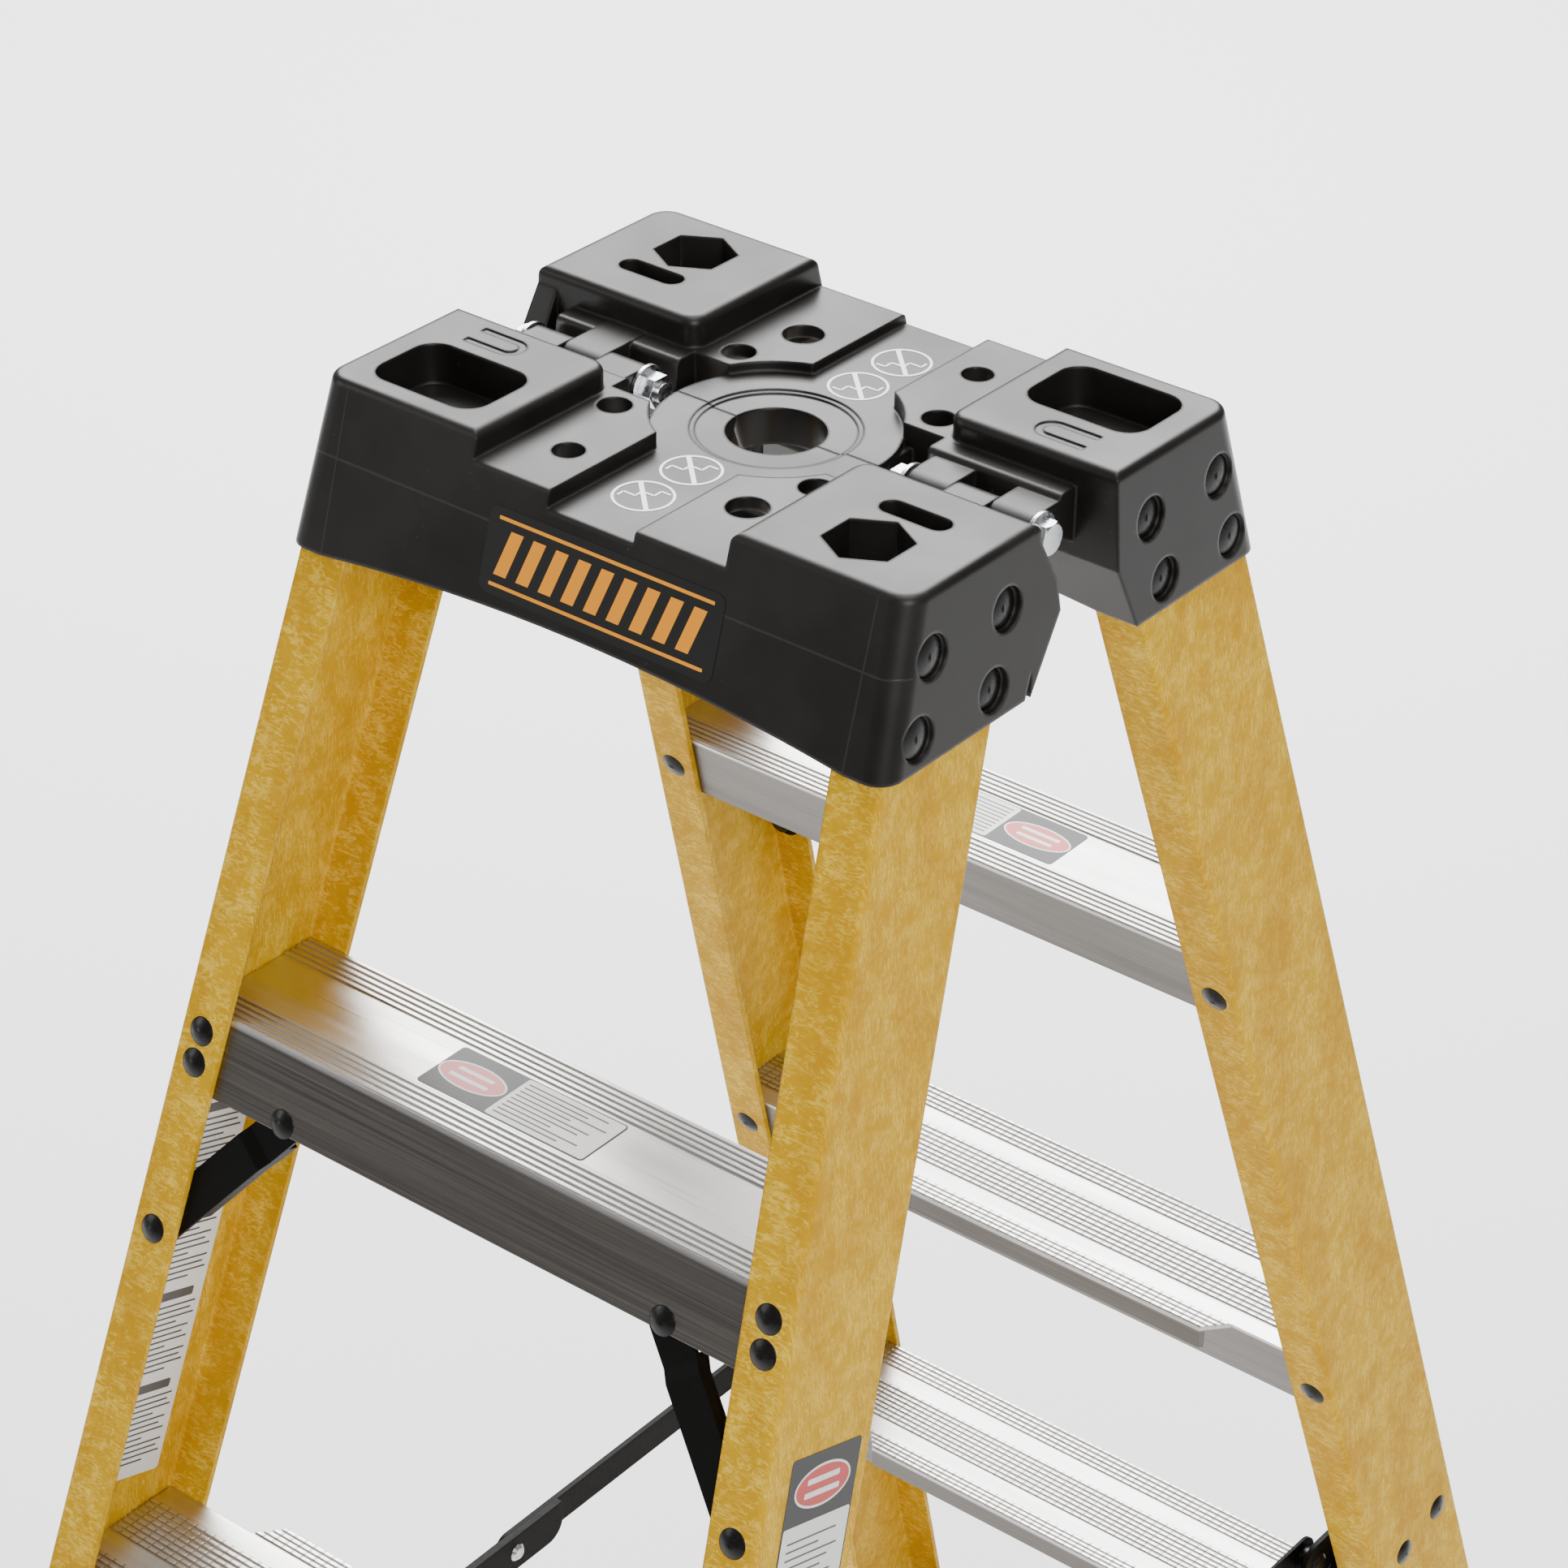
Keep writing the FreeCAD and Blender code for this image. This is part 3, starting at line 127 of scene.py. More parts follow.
class Graph:
    """One material: adds shader nodes, links them and sets the surface shader's own sockets."""

    SOCKETS = {
        "color": "Base Color", "rough": "Roughness", "metal": "Metallic", "normal": "Normal",
        "spec": "Specular IOR Level", "aniso": "Anisotropic"}

    def __init__(self, name):
        self.material = bpy.data.materials.new(name)
        self.material.use_nodes = True
        self.tree = self.material.node_tree
        self.tree.nodes.clear()
        self.out = self.node("ShaderNodeOutputMaterial")
        self.shader = self.node("ShaderNodeBsdfPrincipled")
        self.link(self.shader.outputs[0], self.out.inputs[0])
        self.coords = self.node("ShaderNodeTexCoord").outputs["Object"]

    def node(self, kind, **settings):
        """New shader node with some of its settings."""
        made = self.tree.nodes.new(kind)
        for key, value in settings.items():
            setattr(made, key, value)
        return made

    def link(self, source, target):
        self.tree.links.new(source, target)

    def put(self, target, value):
        """Links a socket, or writes a constant."""
        if isinstance(value, bpy.types.NodeSocket):
            self.link(value, target)
        else:
            target.default_value = value

    def math(self, operation, a, b=0.0):
        """One operation of the math node; each input is a socket or a number."""
        made = self.node("ShaderNodeMath", operation=operation)
        self.put(made.inputs[0], a)
        self.put(made.inputs[1], b)
        return made.outputs[0]

    def times(self, a, b):
        return self.math("MULTIPLY", a, b)

    def distance(self, a, b):
        """Size of a less b."""
        return self.math("ABSOLUTE", self.math("SUBTRACT", a, b))

    def scaled(self, factors, turn=(0.0, 0.0, 0.0)):
        """Object coordinates in metres, scaled along each axis and turned."""
        made = self.node("ShaderNodeMapping")
        self.link(self.coords, made.inputs["Vector"])
        made.inputs["Scale"].default_value = factors
        made.inputs["Rotation"].default_value = turn
        return made.outputs[0]

    def noise(self, vector, scale, detail=3.0, roughness=0.55, distortion=0.0):
        """Fractal noise around 0.5."""
        made = self.node("ShaderNodeTexNoise")
        self.link(vector, made.inputs["Vector"])
        made.inputs["Scale"].default_value = scale
        made.inputs["Detail"].default_value = detail
        made.inputs["Roughness"].default_value = roughness
        made.inputs["Distortion"].default_value = distortion
        return made.outputs["Fac"]

    def span(self, value, low, high, to_low=0.0, to_high=1.0):
        """Smooth step of a value from low..high to to_low..to_high."""
        made = self.node("ShaderNodeMapRange", interpolation_type="SMOOTHSTEP")
        self.put(made.inputs["Value"], value)
        made.inputs["From Min"].default_value = low
        made.inputs["From Max"].default_value = high
        made.inputs["To Min"].default_value = to_low
        made.inputs["To Max"].default_value = to_high
        return made.outputs[0]

    def mix(self, factor, a, b):
        """Colour a where the factor is 0, colour b where it is 1."""
        made = self.node("ShaderNodeMix", data_type="RGBA")
        self.put(made.inputs[0], factor)
        self.put(made.inputs[6], a)
        self.put(made.inputs[7], b)
        return made.outputs[2]

    def split(self):
        """The three object coordinates."""
        made = self.node("ShaderNodeSeparateXYZ")
        self.link(self.coords, made.inputs[0])
        return made.outputs

    def bump(self, height, distance, strength=1.0, normal=None):
        """Normal tilted by a height field; distance is the full height in metres."""
        made = self.node("ShaderNodeBump")
        self.put(made.inputs["Height"], height)
        made.inputs["Distance"].default_value = distance
        made.inputs["Strength"].default_value = strength
        if normal is not None:
            self.link(normal, made.inputs["Normal"])
        return made.outputs[0]

    def rounded(self, radius):
        """Normal that softens every edge to a radius in metres."""
        made = self.node("ShaderNodeBevel", samples=6)
        made.inputs["Radius"].default_value = radius
        return made.outputs[0]

    def set(self, **values):
        """Fills the surface shader's sockets, by the short names in SOCKETS."""
        for key, value in values.items():
            self.put(self.shader.inputs[self.SOCKETS[key]], value)


def rgba(color, share=1.0):
    """Colour with full alpha, brightened or dimmed by a share."""
    return (color[0] * share, color[1] * share, color[2] * share, 1.0)


# ---------------------------------------------------------------------------
# materials
# ---------------------------------------------------------------------------

def moulding_material(settings):
    """Satin black plastic: fine grain, faint mottling, dust specks, soft edges and thin parting lines."""
    g = Graph("cap_moulding")
    grain = g.noise(g.coords, 2600.0, 2.0)
    cloud = g.noise(g.coords, 14.0, 4.0)
    speck = g.span(g.noise(g.coords, 700.0, 1.0), 0.77, 0.80)
    dust = g.times(speck, g.span(g.noise(g.coords, 9.0, 2.0), 0.45, 0.62))
    color = g.mix(g.span(cloud, 0.35, 0.7), rgba(settings.moulding), rgba(settings.moulding, 1.8))
    color = g.mix(g.times(dust, 0.5), color, (0.20, 0.19, 0.17, 1.0))
    x, y, z = g.split()
    upright = g.span(g.distance(g.math("ABSOLUTE", x), PARTING_X), 0.0002, 0.0006, 1.0, 0.0)
    level = g.span(g.distance(z, PARTING_Z), 0.0002, 0.0006, 1.0, 0.0)
    outside = g.span(g.math("ABSOLUTE", y), CAP_FRONT, CAP_FRONT + 0.0020)
    parting = g.times(g.math("MAXIMUM", upright, level), outside)
    color = g.mix(g.times(parting, 0.35), color, (0.05, 0.046, 0.042, 1.0))
    height = g.math("ADD", g.times(grain, 0.25), parting)
    normal = g.bump(height, 0.00012, 0.5, g.rounded(0.0022))
    g.set(color=color, rough=g.span(cloud, 0.3, 0.7, 0.33, 0.43), normal=normal, spec=0.36)
    return g.material


def fibreglass_material(settings):
    """Yellow resin over layers of pale chopped strands, each layer turned another way."""
    g = Graph("fibreglass")
    cloud = g.noise(g.scaled((1.0, 1.0, 0.45)), 34.0, 5.0, 0.65)
    fine = g.noise(g.coords, 420.0, 3.0)
    strands = None
    for index in range(7):
        turn = (math.radians(17.0 + 26.0 * index), math.radians(8.0 * index), math.radians(11.0 * index))
        scale = settings.strand_scale * (0.9 + 0.15 * index)
        wavy = g.noise(g.scaled((1.0, 11.0, 1.1), turn), scale, 2.0, 0.5, 0.8)
        line = g.span(g.distance(wavy, 0.5), 0.0, 0.045, 1.0, 0.0)
        gate = g.span(g.noise(g.scaled((1.0, 1.0, 1.0), turn), 60.0 + 9.0 * index, 2.0), 0.50, 0.62)
        layer = g.times(line, gate)
        strands = layer if strands is None else g.math("MAXIMUM", strands, layer)
    strands = g.times(strands, g.span(cloud, 0.30, 0.60, 0.35, 1.0))
    color = g.mix(g.span(cloud, 0.34, 0.66), rgba(settings.rail_yellow), rgba(settings.rail_pale))
    color = g.mix(g.times(strands, 0.80), color, rgba(settings.strand))
    color = g.mix(g.times(g.span(fine, 0.55, 0.75), 0.22), color, rgba(settings.resin))
    height = g.math("ADD", g.times(strands, 0.6), g.times(fine, 0.25))
    normal = g.bump(height, 0.00006, 0.5, g.rounded(0.0014))
    g.set(color=color, rough=g.span(fine, 0.3, 0.7, 0.46, 0.58), normal=normal, spec=0.10)
    return g.material


def extrusion_material(settings, number):
    """Mill-finish aluminium drawn along X: bright tread, skirts much darker as painted shade; lower treads
    have nicked ribs, darkened in the nicks as painted shade.
    """
    g = Graph("step_%d" % number)
    x, _, z = g.split()
    tread = TREAD_RISE * (STEPS + 1 - number)
    lines = g.noise(g.scaled((0.9, 240.0, 240.0)), 6.0, 5.0, 0.7)
    broad = g.noise(g.scaled((1.2, 26.0, 26.0)), 3.0, 3.0)
    smudge = g.noise(g.coords, 26.0, 4.0)
    drawn = g.span(lines, 0.3, 0.7)
    bright = g.mix(drawn, rgba(settings.metal, 0.84), rgba(settings.metal))
    bright = g.mix(g.times(g.span(smudge, 0.55, 0.75), 0.22), bright, (0.50, 0.47, 0.44, 1.0))
    # painted shade: below the tread top the skirts take the far darker skirt colour, with random darker
    # patches
    shaded_skirt = g.mix(drawn, rgba(settings.skirt), rgba(settings.skirt, 1.5))
    shaded_skirt = g.mix(g.times(g.span(broad, 0.5, 0.7), 0.4), shaded_skirt, rgba(settings.skirt, 0.75))
    color = g.mix(g.span(z, tread - 0.0030, tread - 0.0012), shaded_skirt, bright)
    height = g.times(lines, 0.3)
    if number > 1:
        nick_pitch = 0.00625
        across = g.distance(g.math("FRACT", g.times(x, 1.0 / nick_pitch)), 0.5)
        on_ribs = g.span(z, tread + 0.0002, tread + 0.0006)
        nick = g.times(g.span(across, 0.06, 0.13, 1.0, 0.0), on_ribs)
        # painted shade in the nicks: the grooves cut across the ribs are darkened
        color = g.mix(g.times(nick, 0.55), color, (0.20, 0.185, 0.17, 1.0))
        height = g.math("SUBTRACT", height, g.times(nick, 1.5))
    rough = g.math("ADD", g.span(lines, 0.3, 0.7, 0.26, 0.40), g.span(broad, 0.35, 0.65, 0.0, 0.10))
    normal = g.bump(height, 0.00010, 0.8, g.rounded(0.0006))
    g.set(color=color, metal=1.0, rough=rough, normal=normal, aniso=0.35)
    return g.material


def steel_paint_material(settings):
    """Black baked paint with faint orange peel and a few scuffs."""
    g = Graph("black_steel")
    peel = g.noise(g.coords, 700.0, 2.0)
    scuff = g.span(g.noise(g.coords, 55.0, 5.0, 0.7), 0.62, 0.74)
    color = g.mix(g.times(scuff, 0.4), rgba(settings.paint), (0.022, 0.018, 0.015, 1.0))
    normal = g.bump(peel, 0.00003, 0.5, g.rounded(0.0009))
    g.set(color=color, rough=g.span(peel, 0.3, 0.7, 0.46, 0.54), spec=0.10, normal=normal)
    return g.material


def rivet_material():
    """Gloss black coating with brown wear."""
    g = Graph("rivet_coat")
    wear = g.noise(g.coords, 620.0, 3.0)
    color = g.mix(g.span(wear, 0.60, 0.80), (0.0045, 0.0038, 0.0035, 1.0), (0.030, 0.022, 0.016, 1.0))
    normal = g.bump(wear, 0.00004, 0.4, g.rounded(0.0004))
    g.set(color=color, rough=g.span(wear, 0.3, 0.7, 0.26, 0.38), spec=0.35, normal=normal)
    return g.material


def zinc_material():
    """Bright zinc plate with a soft spangle."""
    g = Graph("zinc_plate")
    spangle = g.noise(g.coords, 260.0, 3.0, 0.6)
    color = g.mix(g.span(spangle, 0.35, 0.68), (0.60, 0.62, 0.65, 1.0), (0.84, 0.85, 0.86, 1.0))
    normal = g.bump(spangle, 0.00006, 0.6, g.rounded(0.0005))
    g.set(color=color, metal=1.0, rough=g.span(spangle, 0.3, 0.7, 0.20, 0.36), normal=normal)
    return g.material


def rubber_material():
    """Dull black rubber of the foot pads."""
    g = Graph("foot_rubber")
    normal = g.bump(g.noise(g.coords, 800.0, 3.0), 0.0001, 0.6, g.rounded(0.0006))
    g.set(color=(0.022, 0.022, 0.022, 1.0), rough=0.72, spec=0.3, normal=normal)
    return g.material


def shoe_material():
    """Grained black moulding of the shoes."""
    g = Graph("shoe_moulding")
    normal = g.bump(g.noise(g.coords, 1500.0, 2.0), 0.00008, 0.6, g.rounded(0.0015))
    g.set(color=(0.020, 0.019, 0.018, 1.0), rough=0.46, spec=0.5, normal=normal)
    return g.material


def magnet_material():
    """Dark sintered magnet plate."""
    g = Graph("magnet")
    normal = g.bump(g.noise(g.coords, 900.0, 2.0), 0.00005, 0.5)
    g.set(color=(0.07, 0.07, 0.075, 1.0), rough=0.6, metal=0.3, normal=normal)
    return g.material


def print_material(name, color, rough):
    """One flat ink or film with a barely visible grain."""
    g = Graph(name)
    normal = g.bump(g.noise(g.coords, 1200.0, 1.0), 0.00001, 0.3)
    g.set(color=rgba(color), rough=rough, normal=normal)
    return g.material


def paint_node(node, material):
    """Puts one material in every slot of a CAD node."""
    for entry in node.material_slots:
        entry.material = material
    if not node.material_slots:
        node.data.materials.append(material)


class LADDER_OT_finish(bpy.types.Operator):
    """Give every CAD node its procedural material"""
    bl_idname = "ladder.finish"
    bl_label = "Finish the frame"

    def execute(self, context):
        settings = context.scene.ladder_finish
        steps = [extrusion_material(settings, number) for number in range(1, STEPS + 1)]
        moulding = moulding_material(settings)
        glass = fibreglass_material(settings)
        steel = steel_paint_material(settings)
        rivets = rivet_material()
        zinc = zinc_material()
        rubber = rubber_material()
        shoe = shoe_material()
        magnet = magnet_material()
        for name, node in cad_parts.items():
            if "cap_half" in name:
                paint_node(node, moulding)
            elif "_rail_" in name:
                paint_node(node, glass)
            elif "_step_" in name and "rivets" not in name:
                paint_node(node, steps[int(name[-1]) - 1])
            elif "rivets" in name or "pivots" in name:
                paint_node(node, rivets)
            elif "brace" in name or "bracket" in name or "spreader" in name:
                paint_node(node, steel)
            elif "shoe" in name:
                paint_node(node, shoe)
            elif "pads" in name:
                paint_node(node, rubber)
            elif "hinge" in name or "knuckle" in name:
                paint_node(node, zinc)
            elif "magnet" in name:
                paint_node(node, magnet)
            else:
                raise RuntimeError("no finish for " + name)
        return {"FINISHED"}


# ---------------------------------------------------------------------------
# flat closed tiles
# ---------------------------------------------------------------------------

def rounded_box(width, height, radius, steps=6):
    """Rounded rectangle about zero: four quarter circles, centre (w/2 - r, h/2 - r), joined in order."""
    outline = []
    for quarter in range(4):
        cx = (width / 2 - radius) * (1 if quarter in (0, 3) else -1)
        cy = (height / 2 - radius) * (1 if quarter in (0, 1) else -1)
        for step in range(steps + 1):
            angle = math.pi / 2 * (quarter + step / steps)
            outline.append((cx + radius * math.cos(angle), cy + radius * math.sin(angle)))
    return np.array(outline)


def oval(width, height, count=48):
    """Ellipse x = w/2 cos t, y = h/2 sin t."""
    t = np.linspace(0.0, 2.0 * math.pi, count, endpoint=False)
    return np.stack([width / 2 * np.cos(t), height / 2 * np.sin(t)], axis=1)


def bar(start, end, width):
    """Straight bar of one width between two points."""
    a, b = np.array(start), np.array(end)
    along = (b - a) / np.linalg.norm(b - a)
    side = np.array([-along[1], along[0]]) * width / 2
    return np.array([a - side, b - side, b + side, a + side])


class Sheet:
    """Closed flat tiles gathered into one mesh in the plane (origin, across, up)."""

    def __init__(self, origin, across, up):
        self.origin = Vector(origin)
        self.across = Vector(across).normalized()
        self.up = Vector(up).normalized()
        self.out = self.across.cross(self.up)
        self.points = []
        self.faces = []
        self.slots = []

    def lay(self, flat, height):
        """Adds the points of an outline at one height; gives the number of the first."""
        start = len(self.points)
        for u, v in flat:
            self.points.append(self.origin + self.across * float(u) + self.up * float(v) + self.out * height)
        return start

    def tile(self, outline, low, high, slot, at=(0.0, 0.0)):
        """Prism over a convex counter-clockwise outline, from height low to high."""
        flat = np.asarray(outline) + np.array(at)
        n = len(flat)
        bottom = self.lay(flat, low)
        top = self.lay(flat, high)
        self.faces.append([top + i for i in range(n)])
        self.faces.append([bottom + n - 1 - i for i in range(n)])
        self.faces += [[bottom + i, bottom + (i + 1) % n, top + (i + 1) % n, top + i] for i in range(n)]
        self.slots += [slot] * (n + 2)

    def ring(self, outer, inner, low, high, slot, at=(0.0, 0.0)):
        """Closed band between two outlines with the same number of points."""
        n = len(outer)
        loops = [self.lay(np.asarray(flat) + np.array(at), height)
                 for flat, height in ((outer, low), (outer, high), (inner, high), (inner, low))]
        for index in range(4):
            a, b = loops[index], loops[(index + 1) % 4]
            self.faces += [[a + i, a + (i + 1) % n, b + (i + 1) % n, b + i] for i in range(n)]
        self.slots += [slot] * (4 * n)

    def build(self, name, materials, turned):
        """One object on the front section, or turned half a turn onto the rear one."""
        sign = -1.0 if turned else 1.0
        verts = [(sign * p.x, sign * p.y, p.z) for p in self.points]
        mesh = bpy.data.meshes.new(name)
        mesh.from_pydata(verts, [], self.faces)
        for material in materials:
            mesh.materials.append(material)
        mesh.polygons.foreach_set("material_index", self.slots)
        mesh.update()
        piece = bpy.data.objects.new(name, mesh)
        bpy.context.scene.collection.objects.link(piece)
        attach(piece, "rear_section" if turned else "front_section")
        return piece


def text_lines(sheet, settings, left, right, top, bottom, count, slot, shorts):
    """Plain thin bars in place of printed lines; shorts gives the length of each as a share."""
    low = settings.thickness * 0.5
    high = settings.thickness + 2.0 * settings.print_lift
    for index in range(count):
        share = shorts[index % len(shorts)]
        y = top - (index + 0.5) * (top - bottom) / count
        width = (right - left) * share
        sheet.tile(rounded_box(width, settings.line, settings.line * 0.3, 2), low, high, slot,
                   (left + width / 2, y))


def skirt_label(settings, turned, materials):
    """Black plate on the cap skirt with two amber lines and a band of slanted amber bars."""
    centre_z = 1.7005
    y = -CAP_FRONT - SKIRT_SLOPE * (CAP_TOP - centre_z)
    sheet = Sheet((0.0085, y, centre_z), (1, 0, 0), (0, SKIRT_SLOPE, 1))
    top = settings.thickness + settings.print_lift
    sheet.tile(rounded_box(0.131, 0.0395, 0.005), -0.0001, settings.thickness, 0)
    for v in (0.0150, -0.0150):
        sheet.tile(rounded_box(0.120, 0.0016, 0.0004, 2), 0.0001, top, 1, (0.0, v))
    half, width, slant = 0.0105, 0.0070, 0.0060
    for index in range(9):
        x = -0.0583 + index * 0.0128
        slanted = [(x, -half), (x + width, -half), (x + width + slant, half), (x + slant, half)]
        sheet.tile(slanted, 0.0001, top, 1)
    return sheet.build("label_skirt_rear" if turned else "label_skirt_front", materials, turned)


def tread_label(settings, turned, materials):
    """Label on the top tread: black half with a red oval, pale half with plain lines."""
    sheet = Sheet((-0.0085, -0.1673, TOP_TREAD), (1, 0, 0), (0, 1, 0))
    lift = settings.thickness + settings.print_lift
    sheet.tile(rounded_box(0.0994, 0.0339, 0.0022), -0.0001, settings.thickness, 0)
    sheet.tile(rounded_box(0.0580, 0.0323, 0.0016), 0.0001, lift, 2, (0.0200, 0.0))
    sign = -0.0299
    sheet.tile(oval(0.0388, 0.0192), 0.0001, lift, 2, (sign, 0.0))
    sheet.tile(oval(0.0367, 0.0171), 0.0001, lift + 0.00005, 3, (sign, 0.0))
    for v, width in ((0.0029, 0.0210), (-0.0029, 0.0230)):
        sheet.tile(rounded_box(width, 0.0025, 0.0006, 2), 0.0001, lift + 0.0001, 2, (sign, v))
    shorts = (0.9, 0.72, 0.97, 0.62, 0.88, 0.8, 0.55)
    text_lines(sheet, settings, -0.0065, 0.0462, 0.0142, -0.0142, 9, 4, shorts)
    return sheet.build("label_tread_rear" if turned else "label_tread_front", materials, turned)


def web_label(settings, turned, materials):
    """Long pale label on the inside of the left rail web, with dark headings and plain lines."""
    origin = rail_point(0.0032, 0.0390, 0.4750, -1.0)
    along = Vector((-DOWN.x, DOWN.y, DOWN.z))
    across = Vector((0.0, ACROSS.y, ACROSS.z))
    sheet = Sheet(origin, across, -along)
    if sheet.out.x < 0.0:
        sheet = Sheet(origin, -across, -along)
    lift = settings.thickness + settings.print_lift
    sheet.tile(rounded_box(0.0440, 0.2160, 0.0020), -0.0001, settings.thickness, 2)
    shorts = (0.96, 0.9, 0.97, 0.7, 0.93, 0.85, 0.95, 0.6)
    for block in range(4):
        head = 0.0990 - block * 0.0520
        sheet.tile(rounded_box(0.0300, 0.0050, 0.0008, 2), 0.0001, lift, 4, (0.0, head))
        text_lines(sheet, settings, -0.0200, 0.0200, head - 0.0045, head - 0.0440, 12, 4, shorts)
    return sheet.build("label_web_rear" if turned else "label_web_front", materials, turned)


def side_label(settings, turned, materials):
    """Label on the outside of the right rail web: black head with a red oval above plain lines."""
    origin = rail_point(0.0, 0.0430, 0.4650, 1.0)
    sheet = Sheet(origin, ACROSS, -DOWN)
    if sheet.out.dot(INWARD) > 0.0:
        sheet = Sheet(origin, -ACROSS, -DOWN)
    lift = settings.thickness + settings.print_lift
    sheet.tile(rounded_box(0.0520, 0.1500, 0.0020), -0.0001, settings.thickness, 0)
    sheet.tile(rounded_box(0.0500, 0.1160, 0.0014), 0.0001, lift, 2, (0.0, -0.0160))
    sign = 0.0582
    sheet.tile(oval(0.0420, 0.0210), 0.0001, lift, 2, (0.0, sign))
    sheet.tile(oval(0.0396, 0.0186), 0.0001, lift + 0.00005, 3, (0.0, sign))
    for v, width in ((0.0032, 0.0240), (-0.0032, 0.0260)):
        sheet.tile(rounded_box(width, 0.0028, 0.0006, 2), 0.0001, lift + 0.0001, 2, (0.0, sign + v))
    text_lines(sheet, settings, -0.0205, 0.0205, 0.0360, -0.0680, 26, 4, (0.9, 0.6, 0.95, 0.8, 0.7, 0.9, 0.5))
    return sheet.build("label_side_rear" if turned else "label_side_front", materials, turned)


def round_marks(settings, turned, materials):
    """Two plain ring marks on the centre level: a ring, a stair line and a slanting bar."""
    sheet = Sheet((0.0, 0.0, CENTRE_LEVEL), (1, 0, 0), (0, 1, 0))
    radius, width, top = settings.mark_radius, settings.mark_line, settings.thickness
    reach = (radius - 0.6 * width) * math.sqrt(0.5)
    outer = oval(2 * radius, 2 * radius, 64)
    inner = oval(2 * (radius - width), 2 * (radius - width), 64)
    stair = [(-0.0095, -0.0062), (-0.0095, -0.0020), (-0.0030, -0.0020), (-0.0030, 0.0030),
             (0.0035, 0.0030), (0.0035, 0.0082), (0.0085, 0.0082)]
    for x, y in ((-0.0026, -0.0562), (-0.0032, -0.0882)):
        sheet.ring(outer, inner, -0.0001, top, 0, (x, y))
        slash = bar((x - reach, y + reach), (x + reach, y - reach), width * 1.7)
        sheet.tile(slash, -0.0001, top + 0.00003, 0)
        for (u0, v0), (u1, v1) in zip(stair[:-1], stair[1:]):
            sheet.tile(bar((x + u0, y + v0), (x + u1, y + v1), width * 0.8), -0.0001, top, 0)
    return sheet.build("marks_rear" if turned else "marks_front", materials, turned)


class LADDER_OT_labels(bpy.types.Operator):
    """Lay plain labels and round marks on the cap, the top treads and the rails"""
    bl_idname = "ladder.labels"
    bl_label = "Lay the labels"

    def execute(self, context):
        settings = context.scene.ladder_labels
        black = print_material("label_black", (0.004, 0.0038, 0.0036), 0.42)
        amber = print_material("label_amber", (0.95, 0.34, 0.0), 0.45)
        white = print_material("label_white", (0.92, 0.92, 0.90), 0.42)
        red = print_material("label_red", (0.62, 0.02, 0.014), 0.32)
        grey = print_material("label_print", (0.075, 0.072, 0.07), 0.45)
        paint = print_material("mark_white", (0.95, 0.94, 0.92), 0.5)
        label_set = [black, amber, white, red, grey]
        for turned in (False, True):
            skirt_label(settings, turned, label_set)
            tread_label(settings, turned, label_set)
            web_label(settings, turned, label_set)
            side_label(settings, turned, label_set)
            round_marks(settings, turned, [paint])
        return {"FINISHED"}


# ---------------------------------------------------------------------------
# stage
# ---------------------------------------------------------------------------

def area_light(name, place, target, size, power, color=(1.0, 1.0, 1.0)):
    """Rectangular lamp that faces a target; size in metres, power in watts."""
    data = bpy.data.lights.new(name, "AREA")
    data.shape = "RECTANGLE"
    data.size, data.size_y = size
    data.energy = power
    data.color = color
    lamp = bpy.data.objects.new(name, data)
    bpy.context.scene.collection.objects.link(lamp)
    lamp.location = place
    aim = Vector(target) - Vector(place)
    lamp.rotation_mode = "QUATERNION"
    lamp.rotation_quaternion = aim.to_track_quat("-Z", "Y")
    return lamp


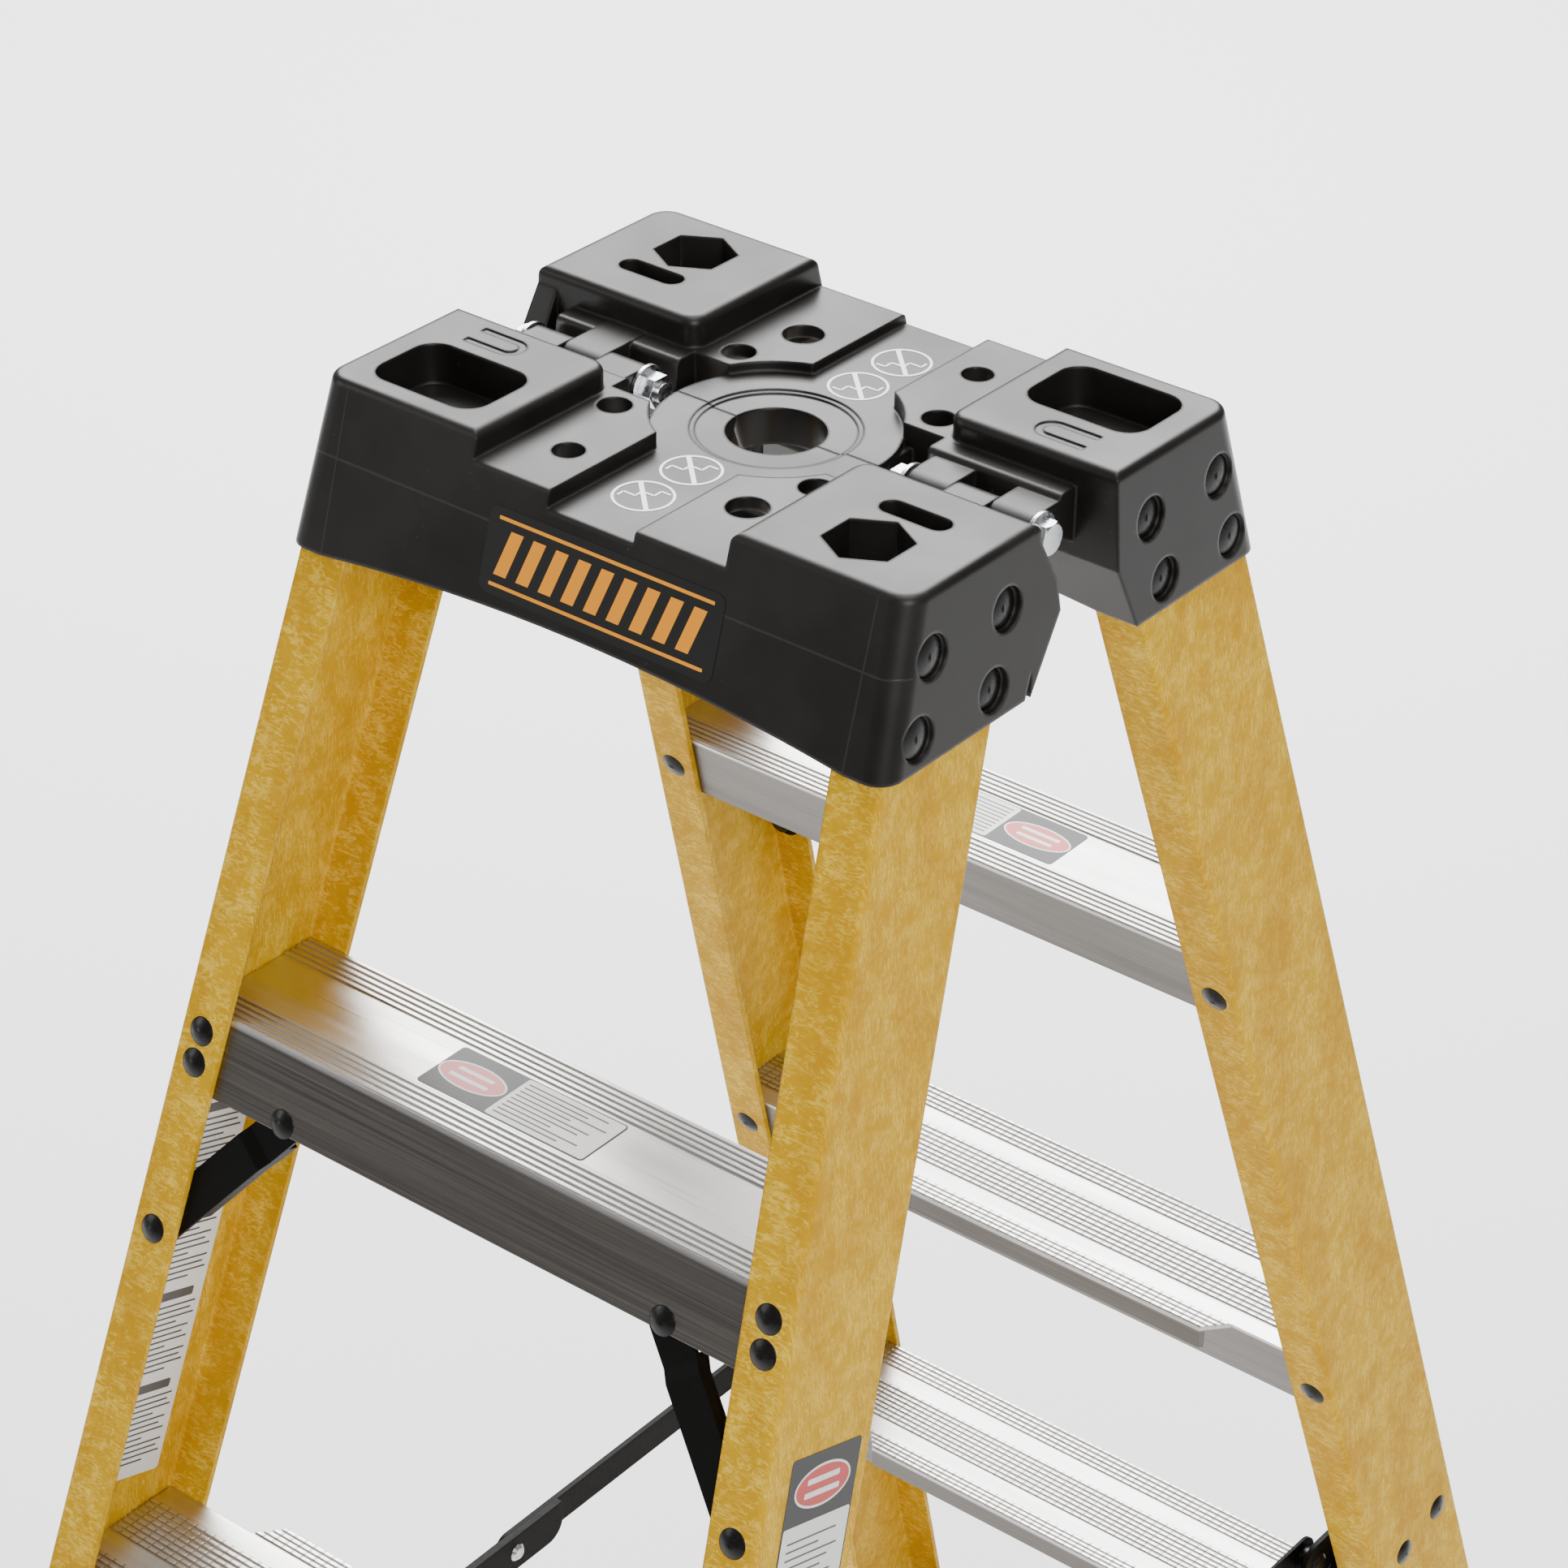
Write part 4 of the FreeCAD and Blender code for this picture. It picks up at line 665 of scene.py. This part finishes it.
class LADDER_OT_stage(bpy.types.Operator):
    """Pale floor, soft lights and the camera"""
    bl_idname = "ladder.stage"
    bl_label = "Set the stage"

    def execute(self, context):
        stage = context.scene.ladder_stage
        half = 30.0
        mesh = bpy.data.meshes.new("floor")
        corners = [(-half, -half, 0.0), (half, -half, 0.0), (half, half, 0.0), (-half, half, 0.0)]
        mesh.from_pydata(corners, [], [(0, 1, 2, 3)])
        floor = bpy.data.objects.new("floor", mesh)
        context.scene.collection.objects.link(floor)
        floor.location = (0.0, 0.0, -0.0005)
        g = Graph("floor")
        g.set(color=(0.93, 0.93, 0.93, 1.0), rough=0.9, spec=0.1)
        mesh.materials.append(g.material)
        middle = (0.0, 0.0, 1.2)
        lights = [
            area_light("key", (3.0, -2.2, 3.4), middle, (1.8, 1.8), 112.0, (1.0, 0.99, 0.97)),
            area_light("left", (-3.2, -2.6, 2.8), middle, (1.4, 1.8), 28.0),
            area_light("top", (0.2, 0.2, 4.6), middle, (2.0, 2.0), 70.0),
            area_light("sweep", (-2.8, 3.6, 4.8), (-2.6, 3.4, 0.0), (5.0, 5.0), 1150.0),
        ]
        world = bpy.data.worlds.new("studio")
        world.use_nodes = True
        background = world.node_tree.nodes["Background"]
        background.inputs["Color"].default_value = (1.0, 1.0, 1.0, 1.0)
        background.inputs["Strength"].default_value = 0.22
        context.scene.world = world

        a, e, r = (math.radians(v) for v in (stage.azimuth, stage.elevation, stage.roll))
        back = Vector((math.sin(a) * math.cos(e), -math.cos(a) * math.cos(e), math.sin(e)))
        level = Vector((0.0, 0.0, 1.0)).cross(back).normalized()
        upright = back.cross(level)
        right = level * math.cos(r) + upright * math.sin(r)
        up = upright * math.cos(r) - level * math.sin(r)
        data = bpy.data.cameras.new("camera")
        data.lens = stage.lens
        data.sensor_width = 36.0
        data.clip_start = 0.1
        data.clip_end = 100.0
        camera = bpy.data.objects.new("camera", data)
        context.scene.collection.objects.link(camera)
        turn = Matrix((right, up, back)).transposed()
        camera.matrix_world = Matrix.Translation(Vector(stage.eye)) @ turn.to_4x4()
        context.scene.camera = camera
        return {"FINISHED"}


class LADDER_PT_panel(bpy.types.Panel):
    """Sidebar panel of the ladder looks"""
    bl_idname = "LADDER_PT_panel"
    bl_label = "Ladder"
    bl_space_type = "VIEW_3D"
    bl_region_type = "UI"
    bl_category = "Ladder"

    def draw(self, context):
        layout = self.layout
        for operator in OPERATORS:
            layout.operator(operator.bl_idname)


OPERATORS = (LADDER_OT_finish, LADDER_OT_labels, LADDER_OT_stage)
GROUPS = (LadderFinish, LadderLabels, LadderStage)


def register():
    """Adds the settings, the operators and the panel."""
    for group in GROUPS:
        bpy.utils.register_class(group)
    bpy.types.Scene.ladder_finish = PointerProperty(type=LadderFinish)
    bpy.types.Scene.ladder_labels = PointerProperty(type=LadderLabels)
    bpy.types.Scene.ladder_stage = PointerProperty(type=LadderStage)
    for operator in OPERATORS:
        bpy.utils.register_class(operator)
    bpy.utils.register_class(LADDER_PT_panel)


def unregister():
    """Takes out all that register added, in reverse."""
    bpy.utils.unregister_class(LADDER_PT_panel)
    for operator in reversed(OPERATORS):
        bpy.utils.unregister_class(operator)
    del bpy.types.Scene.ladder_stage
    del bpy.types.Scene.ladder_labels
    del bpy.types.Scene.ladder_finish
    for group in reversed(GROUPS):
        bpy.utils.unregister_class(group)


def main():
    """Builds the looks through the operators."""
    register()
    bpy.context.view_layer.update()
    bpy.ops.ladder.finish()
    bpy.ops.ladder.labels()
    bpy.ops.ladder.stage()


if __name__ == "__main__":
    main()
